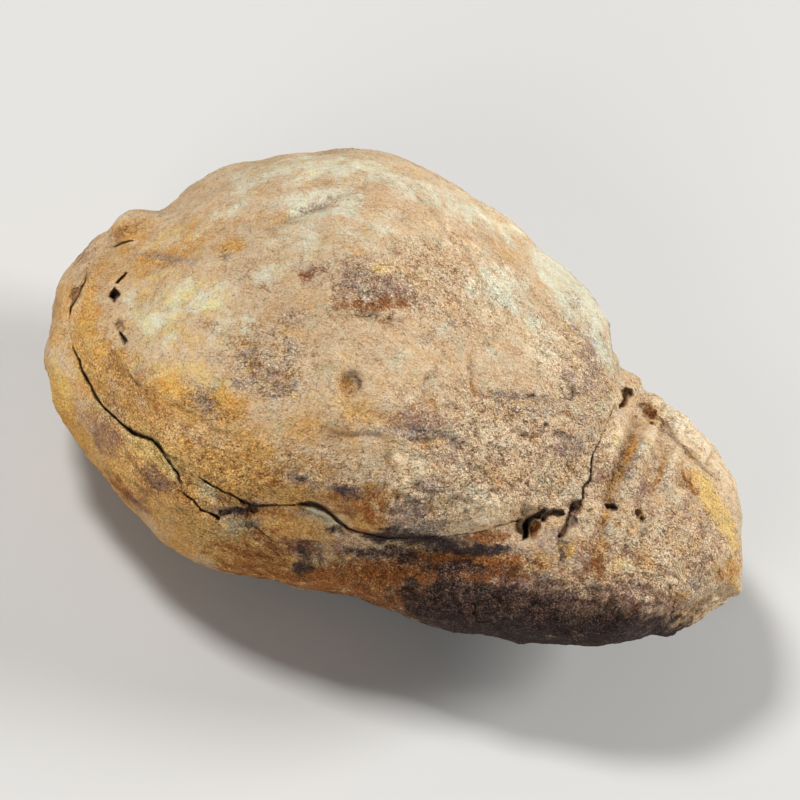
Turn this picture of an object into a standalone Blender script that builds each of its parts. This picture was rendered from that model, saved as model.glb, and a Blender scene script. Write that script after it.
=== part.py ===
"""Enrolled fossil trilobite: one piece of stone, lying on its worn underside.

The head shield is the big dome. Behind it the thorax bends down and under, with its axial rings and
pleural ribs, and the tail shield closes against the head shield below, along a seam.
X runs along the animal, with the front of the head at -X and the bend of the thorax at +X.
Z is up, and the origin lies on the resting face, under the middle of the stone.
Lengths are in millimetres until the mesh is finished, which is then scaled to metres.
"""

import math

import bmesh
import bpy
import numpy as np
from mathutils import Vector, noise

MM = 0.001
NAME = "trilobite_stone"

# The stone's length, and where the head shield's rounded rear would end if it ran on.
LENGTH = 84.0
HALF_LENGTH = LENGTH / 2
HEAD_REAR = 23.5

# Cross sections: x, sideways bow, half width, height of the widest line, top, base.
BODY_SECTIONS = (
    (-38.0, -1.3, 11.6, 15.5, 22.0, 7.6),
    (-33.0, -1.2, 16.8, 16.0, 25.0, 4.4),
    (-27.0, -0.7, 22.3, 17.2, 28.0, 2.1),
    (-19.0, -0.3, 26.2, 18.2, 30.0, 0.1),
    (-10.0, 0.0, 27.2, 18.5, 31.0, -0.7),
    (0.0, -0.4, 25.6, 18.5, 31.0, -0.7),
    (8.0, -1.5, 23.7, 18.2, 30.5, 0.5),
    (14.0, -2.6, 22.0, 17.8, 29.5, 1.9),
    (21.0, -3.5, 19.0, 17.0, 27.9, 3.9),
    (27.0, -3.3, 17.8, 16.5, 27.2, 6.4),
    (33.0, -2.7, 15.0, 16.0, 25.7, 7.5),
    (38.0, -2.5, 10.0, 15.5, 22.2, 8.9),
)
HEAD_SECTIONS = (
    (-38.0, -1.5, 11.3, 17.0, 23.4, 10.0),
    (-33.0, -1.2, 16.3, 17.5, 28.0, 10.0),
    (-27.0, -0.8, 22.0, 19.0, 34.3, 10.0),
    (-19.0, -0.4, 25.6, 20.5, 39.0, 10.0),
    (-10.0, 0.0, 27.0, 21.5, 41.3, 10.0),
    (0.0, 0.0, 26.0, 22.0, 38.6, 10.0),
    (8.0, 0.0, 23.7, 22.0, 35.0, 10.0),
    (13.0, 0.0, 21.9, 22.0, 32.8, 12.0),
    (16.0, 0.0, 18.6, 22.0, 31.4, 14.0),
    (19.0, 0.0, 14.0, 22.0, 29.8, 16.0),
)
BLEND = 0.5

# The seam where the tail shield closes against the head shield: x, height. It climbs over the front.
SEAM = ((-38.0, 20.8), (-33.0, 20.0), (-28.5, 20.8), (-24.0, 22.6), (-20.0, 21.8), (-11.0, 23.1),
        (-5.5, 25.6), (0.0, 23.6), (7.0, 24.3), (12.0, 26.2), (17.5, 25.9))
SEAM_FRONT_RISE = 6.5
SEAM_GROOVE = 0.9
SEAM_HALF_WIDTH = 0.9
SEAM_LEDGE = 0.8
HINGE_X = 17.5

# The thorax: its first furrow is the head shield's rear margin.
MARGIN_X = 21.2
AXIS_Y = -3.3
AXIS_HALF_WIDTH = 7.6
RING_FURROWS = (24.3, 28.2, 32.0, 35.4)
RING_DEPTHS = (0.75, 0.7, 0.35, 0.15)
RING_FURROW_HALF = 1.0

# Round hollows: middle, radii, depth.
HOLLOWS = (
    ((-6.8, -17.6, 35.9), (1.7, 1.7, 1.7), 1.0),  # round pit in the dome
    ((-34.5, -8.8, 26.5), (1.2, 1.2, 1.2), 1.2),  # square hole near the front
    ((-32.4, -13.1, 26.1), (1.3, 1.6, 1.6), 0.6),  # long hollow below it
    ((17.0, -17.0, 26.0), (2.2, 2.0, 2.0), 2.6),  # cavity at the hinge
    ((20.4, -13.0, 26.8), (1.2, 2.0, 1.6), 1.2),  # notch behind the cheek corner
    ((24.9, -11.1, 26.6), (1.2, 1.0, 1.5), 0.8),  # muscle pits along the near axial furrow
    ((28.0, -10.7, 26.2), (1.0, 1.3, 1.5), 0.8),
    ((22.6, 6.0, 26.3), (1.1, 1.8, 2.0), 1.6),  # holes along the far axial furrow
    ((26.0, 5.6, 26.0), (1.8, 1.6, 2.0), 1.0),
    ((18.0, -22.0, 20.5), (7.0, 4.0, 5.0), 0.5),  # hollow flank under the cheek corner
)
# Knobs of the tail's edge that show past the front of the head: middle, radii, height.
KNOBS = (
    ((-39.3, -5.7, 22.3), (2.8, 3.8, 3.4), 1.0),
    ((-36.7, 4.6, 25.2), (4.2, 4.8, 4.2), 2.3),
    ((-30.2, -2.0, 32.0), (6.0, 9.0, 4.0), -0.3),
)
# Broad swells of the sides, and shallow dips where the height is below zero: middle, radii, height.
SWELLS = (
    ((23.0, 10.6, 23.4), (3.5, 5.0, 4.5), 1.1),  # ends of the far ribs
    ((27.4, 10.2, 22.8), (3.0, 4.5, 4.0), 0.25),
    ((33.8, 8.4, 22.4), (4.5, 5.0, 5.0), -0.45),
    ((15.6, 14.6, 28.6), (5.5, 6.0, 6.0), 1.05),  # far cheek
    ((19.0, 10.6, 27.5), (2.5, 3.0, 3.0), 0.25),
    ((2.4, 20.2, 31.5), (6.0, 6.0, 6.0), 0.55),
    ((-6.0, 19.2, 35.1), (3.0, 5.0, 5.0), -0.25),
    ((-12.5, 19.6, 34.5), (5.0, 6.0, 6.0), 0.5),
    ((-30.0, 13.4, 26.9), (6.5, 7.0, 7.0), 1.0),
    ((-39.0, 4.4, 21.2), (3.0, 4.0, 4.0), 0.4),
    ((-41.3, -6.2, 16.8), (5.0, 5.0, 5.0), -0.8),  # front of the tail shield
    ((-41.9, -3.2, 14.2), (3.0, 3.6, 3.6), -0.6),
    ((-33.7, -16.2, 12.0), (8.0, 7.0, 7.0), 0.6),
    ((-16.2, -23.5, 8.0), (9.0, 8.0, 8.0), 1.4),  # near flank
    ((3.2, -22.5, 8.0), (9.0, 8.0, 8.0), -0.9),
    ((37.4, -9.0, 10.3), (4.0, 4.0, 4.0), 0.45),
)
# Breaks: a flat face that cuts the stone off, by its outward direction and a point on it.
BREAKS = (
    ((0.764, -0.618, -0.181), (41.3, -5.4, 15.1)),
    ((0.932, 0.256, 0.256), (41.1, -3.0, 17.0)),
)
# Lumps of the weathered surface: wave length, height.
LUMPS = ((17.0, 0.5), (6.5, 0.22))
REST_CUT = 0.8

# The starting sphere: rings along X, closer together over the thorax, and points round each ring.
RINGS = 150
AROUND = 190
RING_CROWDING = 0.25
TRIANGLES = 9600


def smooth_curve(xs, ys, at):
    """The natural cubic spline through the points, level past its ends."""
    steps = np.diff(xs)
    slopes = np.diff(ys) / steps
    count = len(xs)
    matrix = np.eye(count)
    right = np.zeros(count)
    for i in range(1, count - 1):
        matrix[i, i - 1 : i + 2] = steps[i - 1], 2 * (steps[i - 1] + steps[i]), steps[i]
        right[i] = 6 * (slopes[i] - slopes[i - 1])
    bend = np.linalg.solve(matrix, right)
    at = np.clip(at, xs[0], xs[-1])
    i = np.clip(np.searchsorted(xs, at) - 1, 0, count - 2)
    a, b, step = xs[i + 1] - at, at - xs[i], steps[i]
    return (
        (bend[i] * a**3 + bend[i + 1] * b**3) / (6 * step)
        + (ys[i] / step - bend[i] * step / 6) * a
        + (ys[i + 1] / step - bend[i + 1] * step / 6) * b
    )


def smooth_step(value, low, high):
    """0 up to low, 1 from high on, and an even curve between them."""
    share = np.clip((value - low) / (high - low), 0, 1)
    return share * share * (3 - 2 * share)


def end_rounding(x, front, rear):
    """How much of a section's size is left near a solid's round ends: 1 in the middle, 0 at the tips."""
    middle, half = (front + rear) / 2, (rear - front) / 2
    return np.sqrt(np.clip(1 - ((x - middle) / half) ** 2, 1e-6, 1))


def outside(sections, front, rear, x, y, z):
    """How far each point lies outside a solid given by its cross sections, negative inside it."""
    xs, bow, half_width, level, top, base = np.array(sections).T
    rounding = end_rounding(xs, front, rear)
    here = end_rounding(x, front, rear)
    width = smooth_curve(xs, half_width / rounding, x) * here
    rise = smooth_curve(xs, (top - level) / rounding, x) * here
    drop = smooth_curve(xs, (level - base) / rounding, x) * here
    sideways = y - smooth_curve(xs, bow, x)
    upward = z - smooth_curve(xs, level, x)
    height = np.where(upward > 0, rise, drop)
    return (np.hypot(sideways / width, upward / height) - 1) * np.minimum(width, height)


def soft_minimum(a, b, blend):
    """The smaller of two distances, rounded off where they are within the blend of each other."""
    share = np.clip(0.5 + (b - a) / (2 * blend), 0, 1)
    return b + (a - b) * share - blend * share * (1 - share)


def stone_points(x, angle):
    """Points of the plain stone at each x and at each angle round it, 0 at +Y and a quarter turn at +Z."""
    body_x, bow, _, level = np.array(BODY_SECTIONS)[:, :4].T
    core_y, core_z = smooth_curve(body_x, bow, x), smooth_curve(body_x, level, x)
    near, far = np.zeros(len(x)), np.full(len(x), HALF_LENGTH)
    for _ in range(24):
        radius = (near + far) / 2
        y, z = core_y + radius * np.cos(angle), core_z + radius * np.sin(angle)
        body = outside(BODY_SECTIONS, -HALF_LENGTH, HALF_LENGTH, x, y, z)
        head = outside(HEAD_SECTIONS, -HALF_LENGTH, HEAD_REAR, x, y, z)
        inside = soft_minimum(body, head, BLEND) < 0
        near, far = np.where(inside, radius, near), np.where(inside, far, radius)
    return np.column_stack([x, y, z])


def starting_sphere():
    """A sphere mesh whose poles lie on X."""
    mesh = bmesh.new()
    bmesh.ops.create_uvsphere(mesh, u_segments=AROUND, v_segments=RINGS, radius=1.0)
    for vertex in mesh.verts:
        x, y, z = vertex.co
        vertex.co = (z, y, -x)
    return mesh


def place_on_stone(mesh):
    """Moves the sphere's points onto the plain stone."""
    sphere = np.array([vertex.co for vertex in mesh.verts])
    share = np.arccos(np.clip(-sphere[:, 0], -1, 1)) / math.pi
    share += RING_CROWDING * share * (1 - share)
    angle = np.arctan2(sphere[:, 2], sphere[:, 1])
    points = stone_points(-HALF_LENGTH * np.cos(math.pi * share), angle)
    for vertex, point in zip(mesh.verts, points):
        vertex.co = point


def seam_relief(points):
    """The groove along the seam, and the ledge of the head shield over the tail from mid-length to the hinge."""
    x, y, z = points.T
    seam_x, seam_z = np.array(SEAM).T
    over_front = np.exp(-(((y - 1) / 7) ** 2)) * smooth_step(-x, 30, 36)
    above = z - smooth_curve(seam_x, seam_z, x) - SEAM_FRONT_RISE * over_front
    along = 1 - smooth_step(x, HINGE_X, HINGE_X + 2)
    depth = SEAM_GROOVE * (0.3 + 0.7 * smooth_step(x, -20, -6))
    groove = -depth * np.exp(-((above / SEAM_HALF_WIDTH) ** 2)) * along
    open_length = smooth_step(x, -9, -1) * along
    under = smooth_step(-above, 0, 0.8) * (1 - smooth_step(-above, 2, 9))
    return groove - SEAM_LEDGE * open_length * under


def thorax_relief(points):
    """Furrows between the rings, deep across the axial lobe and faint down the sides, and the lobe's edges."""
    x, y, z = points.T
    from_axis = np.abs(y - AXIS_Y)
    behind = smooth_step(x, MARGIN_X, MARGIN_X + 1.2)
    upper = smooth_step(z, 11, 17)
    on_lobe = 1 - smooth_step(from_axis, AXIS_HALF_WIDTH - 1, AXIS_HALF_WIDTH + 0.5)
    far_side = np.where(y > AXIS_Y, 1.0, 0.45)
    strength = on_lobe + (1 - on_lobe) * far_side
    relief = np.zeros(len(points))
    for furrow, depth in zip(RING_FURROWS, RING_DEPTHS):
        relief -= depth * strength * np.exp(-(((x - furrow) / RING_FURROW_HALF) ** 2))
    edge = np.exp(-(((from_axis - AXIS_HALF_WIDTH) / 1.1) ** 2))
    relief -= 0.55 * far_side * edge * (1 - smooth_step(x, 34, 40))
    return relief * behind * upper


def spots_relief(points, spots, sign):
    """Round hollows or knobs, each fading out at its radii."""
    relief = np.zeros(len(points))
    for middle, radii, height in spots:
        distance = np.linalg.norm((points - np.array(middle)) / np.array(radii), axis=1)
        relief += sign * height * (1 - smooth_step(distance, 0.2, 1))
    return relief


def lumps_relief(points):
    """The weathered surface's lumps, from coarse to fine."""
    relief = np.zeros(len(points))
    for number, (wave, height) in enumerate(LUMPS):
        shift = Vector((11.0 * number, 5.0, 3.0))
        relief += [height * noise.noise(Vector(point) * (2 / wave) + shift) for point in points]
    return relief


def crease_relief(points):
    """The shallow crease across the top of the dome."""
    start, end = np.array((-20.5, -0.6, 38.2)), np.array((-13.5, 8.2, 39.3))
    share = np.clip((points - start) @ (end - start) / np.dot(end - start, end - start), 0, 1)
    distance = np.linalg.norm(points - start - share[:, None] * (end - start), axis=1)
    return -0.5 * np.exp(-((distance / 1.2) ** 2))


def add_relief(mesh):
    """Moves every point in or out along its normal."""
    mesh.normal_update()
    points = np.array([vertex.co for vertex in mesh.verts])
    normals = np.array([vertex.normal for vertex in mesh.verts])
    relief = seam_relief(points) + thorax_relief(points) + crease_relief(points)
    relief += spots_relief(points, HOLLOWS, -1) + spots_relief(points, KNOBS, 1) + spots_relief(points, SWELLS, 1)
    relief += lumps_relief(points)
    points += relief[:, None] * normals
    for vertex, point in zip(mesh.verts, points):
        vertex.co = point


def thin_out(mesh):
    """The same surface with fewer triangles, kept where it curves most."""
    bmesh.ops.triangulate(mesh, faces=mesh.faces)
    fine = bpy.data.meshes.new(NAME + "_fine")
    mesh.to_mesh(fine)
    fine_object = bpy.data.objects.new(NAME + "_fine", fine)
    bpy.context.scene.collection.objects.link(fine_object)
    decimate = fine_object.modifiers.new("Decimate", "DECIMATE")
    decimate.ratio = TRIANGLES / len(fine.polygons)
    graph = bpy.context.evaluated_depsgraph_get()
    thinned = bpy.data.meshes.new_from_object(fine_object.evaluated_get(graph))
    bpy.data.objects.remove(fine_object)
    return thinned


def cut_breaks(points):
    """Brings what lies beyond each break back onto its flat face."""
    for direction, on_face in BREAKS:
        direction = np.array(direction) / np.linalg.norm(direction)
        beyond = (points - np.array(on_face)) @ direction
        points -= np.maximum(beyond, 0)[:, None] * direction


def settle(data):
    """Cuts the flat faces, puts the origin under the middle of the stone and scales it to metres."""
    points = np.array([vertex.co for vertex in data.vertices])
    cut_breaks(points)
    points[:, 2] = np.maximum(points[:, 2], points[:, 2].min() + REST_CUT)
    low, high = points.min(axis=0), points.max(axis=0)
    points -= ((low[0] + high[0]) / 2, (low[1] + high[1]) / 2, low[2])
    for vertex, point in zip(data.vertices, points):
        vertex.co = Vector(point) * MM


def stone_material():
    """Buff, matt, fine-grained stone."""
    material = bpy.data.materials.new("buff_stone")
    material.use_nodes = True
    shader = material.node_tree.nodes["Principled BSDF"]
    shader.inputs["Base Color"].default_value = (0.52, 0.37, 0.22, 1.0)
    shader.inputs["Roughness"].default_value = 0.9
    shader.inputs["Metallic"].default_value = 0.0
    return material


def build():
    for obj in list(bpy.data.objects):
        bpy.data.objects.remove(obj)
    collection = bpy.data.collections.new("fossil_trilobite")
    bpy.context.scene.collection.children.link(collection)
    mesh = starting_sphere()
    place_on_stone(mesh)
    add_relief(mesh)
    data = thin_out(mesh)
    mesh.free()
    settle(data)
    data.name = NAME
    data.shade_smooth()
    data.materials.clear()
    data.materials.append(stone_material())
    stone = bpy.data.objects.new(NAME, data)
    collection.objects.link(stone)


build()
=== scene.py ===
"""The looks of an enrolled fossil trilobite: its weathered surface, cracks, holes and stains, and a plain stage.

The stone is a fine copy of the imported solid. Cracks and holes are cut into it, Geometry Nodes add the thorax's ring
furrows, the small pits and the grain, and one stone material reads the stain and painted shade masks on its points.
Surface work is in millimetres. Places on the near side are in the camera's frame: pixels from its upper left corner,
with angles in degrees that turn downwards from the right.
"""

import math

import bmesh
import bpy
import numpy as np
from bpy.props import FloatProperty, FloatVectorProperty, IntProperty, PointerProperty
from mathutils import Matrix, Vector, noise


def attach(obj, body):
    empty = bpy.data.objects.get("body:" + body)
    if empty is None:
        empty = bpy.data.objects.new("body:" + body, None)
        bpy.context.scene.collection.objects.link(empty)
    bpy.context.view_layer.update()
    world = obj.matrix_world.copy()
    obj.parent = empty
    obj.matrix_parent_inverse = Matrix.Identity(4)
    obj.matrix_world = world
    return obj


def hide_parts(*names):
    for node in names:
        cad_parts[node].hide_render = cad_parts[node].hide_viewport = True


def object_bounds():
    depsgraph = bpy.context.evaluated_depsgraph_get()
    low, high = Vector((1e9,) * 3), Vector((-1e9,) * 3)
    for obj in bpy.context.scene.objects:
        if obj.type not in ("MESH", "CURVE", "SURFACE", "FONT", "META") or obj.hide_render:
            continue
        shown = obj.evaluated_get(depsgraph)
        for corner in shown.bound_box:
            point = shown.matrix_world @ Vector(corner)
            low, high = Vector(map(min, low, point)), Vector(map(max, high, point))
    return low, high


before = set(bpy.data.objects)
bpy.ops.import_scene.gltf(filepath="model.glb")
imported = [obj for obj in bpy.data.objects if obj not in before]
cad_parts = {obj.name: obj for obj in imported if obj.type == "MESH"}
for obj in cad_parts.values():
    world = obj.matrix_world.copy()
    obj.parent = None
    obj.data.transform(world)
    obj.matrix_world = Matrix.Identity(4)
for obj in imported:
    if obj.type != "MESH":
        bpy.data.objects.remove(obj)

bl_info = {
    "name": "Fossil Trilobite",
    "version": (1, 0, 0),
    "blender": (4, 5, 0),
    "location": "3D View > Sidebar > Fossil",
    "description": "Dresses the solid of an enrolled trilobite as weathered stone on a plain stage",
    "category": "Object",
}

NODE = "trilobite_stone"
BODY = "root"
MM = 0.001
CAD_LOW, CAD_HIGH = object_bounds()

# The camera: where it looks from, and where the look-at point falls in its square frame of this many pixels.
FRAME_SIDE = 800
VIEW_ELEVATION = math.radians(45.0)
VIEW_ROLL = math.radians(21.2)
VIEW_DISTANCE = 0.5
LOOK_AT = Vector((0.0, 0.0, 0.020))
LOOK_AT_PIXEL = (413.0, 396.5)
PIXELS_PER_MM = 8.9
SENSOR_WIDTH = 36.0
LIGHT_DISTANCE = 0.8

# How far the surface turns towards the camera, as a cosine, where each kind of mark begins and where it is whole.
RELIEF_FACING = (-0.05, 0.2)
STAIN_FACING = (-0.45, -0.15)
STRAIGHT_CUT_FACING = (0.15, 0.4)
# The far side repeats these cracks and holes, beginning between these distances from the middle plane, in mm.
MIRRORED_CRACKS = ("seam", "margin")
MIRRORED_HOLES = ("hinge", "muscle", "crescent")
MIRRORED_FROM = (3, 8)

# Cracks: least half width and the width that has full depth, in pixels, the most depth as a share of a crack's own,
# where the walls begin and end, in half widths, and how much painted shade a share of the depth brings.
CRACK_LEAST_HALF_WIDTH = 0.7
CRACK_FULL_WIDTH = 2.4
CRACK_MOST_DEPTH = 1.2
CRACK_WALLS = (0.4, 1.6)
CRACK_DARKENING = 1.3
# Holes: how far a wall reaches outside the outline, as a share of its width, and the depths that bring painted shade.
HOLE_WALL_OUTSIDE = 0.25
HOLE_DARKENING = (0.15, 0.9)
# Where the mesh is finer: pixels from a crack's middle, and pixels inside a hole's outline.
FINE_BY_CRACKS = (2, 4.4)
FINE_BY_HOLES = (-4, -1)

# How far the small and the broad wandering move the edges of each kind of mark, in pixels.
NEAR_CUT_SHIFT = (0.9, 0.0)
FAR_CUT_SHIFT = (1.2, 6.0)
SWELLING_SHIFT = (1.2, 0.0)
SCARP_SHIFT = (2.5, 2.0)
COARSE_SHIFT = (0.0, 14.0)
STAIN_SHIFT = (4.5, 4.0)

# Uneven ground: how it is drawn out along the animal, how steep its ridges are, how wide the edge between two chips
# is, as a share of a chip, how much of the chips smooth ground has, how fast a swelling falls off, and in how many
# pixels a scarp rises.
DRAWN_OUT = (0.55, 1, 1)
RIDGE_STEEPNESS = 2.2
CHIP_EDGE = 0.08
SMOOTH_CHIPS = 0.12
SWELLING_FALL = 1.4
SCARP_RUN = 2.0

# How far points stand out: passes of the smoothing that finds their surroundings, and what counts as most, in mm.
FINE_RELIEF = (3, 0.10)
WIDE_RELIEF = (30, 0.32)

# Stains on the hidden sides: most strength, and the noise that begins and ends a patch when it covers nothing.
HIDDEN_MOST = 0.85
HIDDEN_EDGES = (0.55, 1.35)
HIDDEN_PER_SHARE = 1.5

# Cracks, as paths: name, depth in mm, darkness of the painted shade in it, and each point's x, y and width.
CRACKS = (
    ("seam_left", 1.2, 1, (
        (73, 347, 0.8), (75, 352, 1.6), (80, 361, 2), (82, 370, 2), (86, 378, 2.6), (91, 386, 2), (96, 397, 2.6),
        (103, 406, 2), (112, 415, 2), (120, 423, 2.2), (128, 429, 3), (136, 434, 4.2), (144, 437, 2.5),
        (152, 440, 3.2), (160, 447, 3.6), (166, 456, 2.2), (172, 466, 2.2), (178, 475, 1.8), (182, 483, 1),
        (181, 491, 0.7), (187, 496, 1.8), (194, 501, 1.4), (201, 510, 1.8), (210, 513, 1.6), (219, 518, 2.6))),
    ("seam_left_twig", 0.5, 0.8, ((163, 452, 2), (170, 456, 2), (176, 460, 1))),
    ("seam_upper", 0.9, 0.9, (
        (200, 477, 0.8), (205, 481, 2), (212, 486, 1.8), (223, 491, 1.6), (234, 496, 1.9), (245, 503, 2.6),
        (254, 506, 2.6), (262, 505, 2.2), (272, 505, 1.6), (285, 504.5, 1.4), (295, 505, 1.8))),
    ("seam_middle", 0.7, 0.9, (
        (333, 516, 3), (340, 522, 3.4), (348, 528, 2.6), (356, 531, 1.8), (366, 533, 1.4), (376, 535, 1.6),
        (390, 537, 1.8), (404, 538, 1.4), (410, 538, 0.4), (440, 537, 0.3), (455, 535, 0.5), (466, 533, 0.9),
        (474, 533, 0.4), (484, 531, 1), (490, 529, 0.5), (498, 526, 1.4), (504, 524, 0.7), (511, 522, 1.4),
        (522, 519, 2))),
    ("lower_branch", 0.5, 0.7, (
        (247, 509, 1.5), (248, 515, 1.8), (246, 521, 1), (253, 526, 1.8), (258, 529, 2), (263, 534, 1),
        (272, 540, 0.7), (283, 543, 0.8), (292, 541, 0.5), (304, 541, 0.9), (318, 542, 0.7), (327, 545, 0.5))),
    ("margin", 0.8, 0.8, (
        (583, 498, 2.6), (583, 488, 2.2), (586, 484, 2), (590, 481, 2.6), (591, 474, 2), (592, 462, 2),
        (593, 455, 1.5), (597, 446, 0.9), (602, 436, 0.6), (606, 425, 0.5), (611, 414, 0.7), (615, 404, 0.7))),
    ("front_knob", 0.9, 0.75, (
        (70, 315, 1.2), (71, 307, 2), (75, 300, 2.2), (79, 293, 2.2), (82, 287, 2), (86, 280, 1.6), (90, 272, 1.4),
        (92, 267, 1))),
    ("knob_foot", 0.4, 0.25, ((70, 315, 1.4), (69, 327, 1.2), (72, 340, 1.4), (73, 350, 1.4))),
    ("knob_slit", 0.6, 0.8, ((114, 246, 1.6), (119, 244, 2.6), (125, 242, 2.4), (133, 241, 1.2))),
    ("hollow_nick", 0.4, 0.7, ((335, 524, 1), (333, 528, 1.3), (334, 533, 0.8))),
    ("flank_1", 0.5, 0.9, ((474, 602, 0.8), (476, 607, 1.4), (475, 612, 1.6), (477, 617, 1.2), (476, 622, 0.8))),
    ("flank_2", 0.5, 0.9, ((675, 600, 0.8), (673, 605, 1.4), (674, 610, 1.6), (671, 615, 1.2), (672, 620, 0.8))),
    ("flank_3", 0.3, 0.7, ((702, 576, 0.7), (700, 581, 1.2), (701, 586, 0.9), (697, 590, 0.6))),
    ("flank_4", 0.3, 0.6, ((668, 583, 0.7), (671, 588, 1.1), (669, 593, 1), (670, 598, 0.6))),
    ("far_furrow", 0.3, 0.3, (
        (655, 415, 3), (662, 421, 3.4), (669, 428, 3.4), (676, 440, 3), (684, 446, 2.6), (692, 454, 3),
        (700, 462, 2.6), (706, 470, 2), (716, 480, 1.4))),
    ("dome_rim_nick", 0.3, 0.8, ((572, 388, 1.6), (573, 393, 2), (572, 399, 1.4))),
    ("chip_line", 0.25, 0.45, (
        (674, 630, 1), (684, 623, 1.2), (695, 615, 1), (706, 609, 1.3), (718, 602, 1), (729, 596, 1.2),
        (738, 592, 0.8))),
    ("chin_twig", 0.3, 0.7, ((268, 546, 1), (276, 552, 1.5), (284, 560, 1))),
)

# Holes, as outlines: name, depth in mm, width of the walls in pixels, darkness of the painted shade in it, corners.
HOLES = (
    ("front_slit", 1.2, 1.6, 1, ((125, 271), (128, 273), (118, 284), (115, 283))),
    ("front_square", 2, 2, 1, ((114, 287), (118, 290), (122, 296), (118, 299), (115, 304), (108, 296))),
    ("front_hollow_top", 0.6, 3, 0.3, ((119, 318), (123, 321), (127, 329), (122, 334), (116, 331), (114, 324))),
    ("front_hollow_low", 1.4, 2.2, 1, ((118, 330), (122, 332), (129, 341), (125, 346), (121, 340))),
    ("dome_pit", 0.5, 7, 0.08, (
        (341, 373), (350, 369), (360, 371), (366, 380), (365, 391), (357, 399), (345, 399), (337, 392), (336, 382))),
    ("dome_pit_heel", 0.5, 2, 0.75, (
        (350, 374), (357, 374), (362, 380), (362, 387), (357, 391), (357, 384), (355, 379))),
    ("crescent", 1.3, 4, 0.95, (
        (295, 504), (301, 501), (310, 500), (319, 502), (328, 507), (336, 515), (343, 523), (338, 522), (325, 513),
        (312, 508), (301, 507))),
    ("crescent_floor", 0.5, 6, 0.1, (
        (297, 506), (312, 508), (326, 514), (337, 522), (344, 528), (333, 524), (318, 519), (304, 513))),
    ("hinge", 2.6, 2, 1, (
        (521, 522), (527, 517), (536, 512), (544, 508), (549, 510), (545, 514), (541, 519), (536, 518), (532, 523),
        (529, 530), (529, 538), (524, 540), (522, 542), (523, 532))),
    ("hinge_lump", 0.9, 2, 0.1, ((537, 519), (542, 522), (542, 530), (536, 538), (530, 538), (529, 531), (533, 523))),
    ("hinge_block", 1.5, 2, 0.8, (
        (545, 512), (552, 510), (557, 511), (554, 516), (549, 517), (546, 523), (542, 522), (541, 518))),
    ("hinge_tail", 0.9, 1.6, 1, ((552, 509), (564, 510), (566, 516), (557, 518), (552, 516))),
    ("cheek_notch", 1.1, 3, 0.3, (
        (571, 503), (583, 498), (583, 505), (581, 512), (575, 516), (579, 519), (578, 525), (570, 530), (565, 539),
        (556, 537), (561, 529), (566, 519), (568, 510))),
    ("cheek_notch_eye", 0.7, 1.6, 0.9, ((577, 500), (583, 498), (583, 508), (579, 505))),
    ("cheek_notch_line", 0.4, 1.4, 0.7, ((567, 513), (570, 514), (567, 522), (562, 532), (560, 530), (564, 522))),
    ("muscle_pit_1", 1.5, 1.4, 1, ((608, 504), (612, 503), (618, 507), (618, 512), (612, 511))),
    ("muscle_pit_2", 1, 1.8, 0.95, ((639, 516), (642, 516), (645, 521), (643, 523), (640, 521))),
    ("muscle_pit_2_top", 0.6, 1.8, 0.5, ((635, 511), (640, 510), (642, 514), (640, 519), (637, 518))),
    ("muscle_pit_3", 0.6, 1.2, 0.9, ((663, 530), (665, 530), (666, 532), (664, 532))),
    ("far_pit_1", 1.3, 2.4, 0.35, (
        (620, 390), (626, 386), (633, 389), (634, 396), (629, 399), (627, 406), (620, 408), (622, 399))),
    ("far_pit_2", 0.8, 4.5, 0.3, ((640, 403), (650, 404), (659, 411), (657, 420), (648, 424), (641, 417))),
    ("far_pit_2_eye", 0.6, 2.5, 0.7, ((648, 420), (655, 422), (657, 426), (650, 425))),
    ("ledge_pit_1", 0.7, 4, 0.5, ((217, 509), (226, 507), (235, 508), (233, 514), (224, 518), (218, 517))),
    ("ledge_pit_2", 0.8, 4, 0.6, ((246, 502), (253, 500), (260, 503), (259, 511), (253, 514), (247, 510))),
    ("ledge_pit_3", 0.4, 4, 0.3, ((242, 520), (252, 519), (257, 527), (249, 531), (242, 527))),
    ("knob_hollow", 0.6, 5, 0.3, ((70, 287), (80, 284), (84, 290), (79, 303), (71, 307), (68, 297))),
    ("knob_shelf", 0.45, 5, 0.1, ((113, 231), (125, 226), (140, 221), (148, 222), (132, 231), (119, 236))),
)

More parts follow.
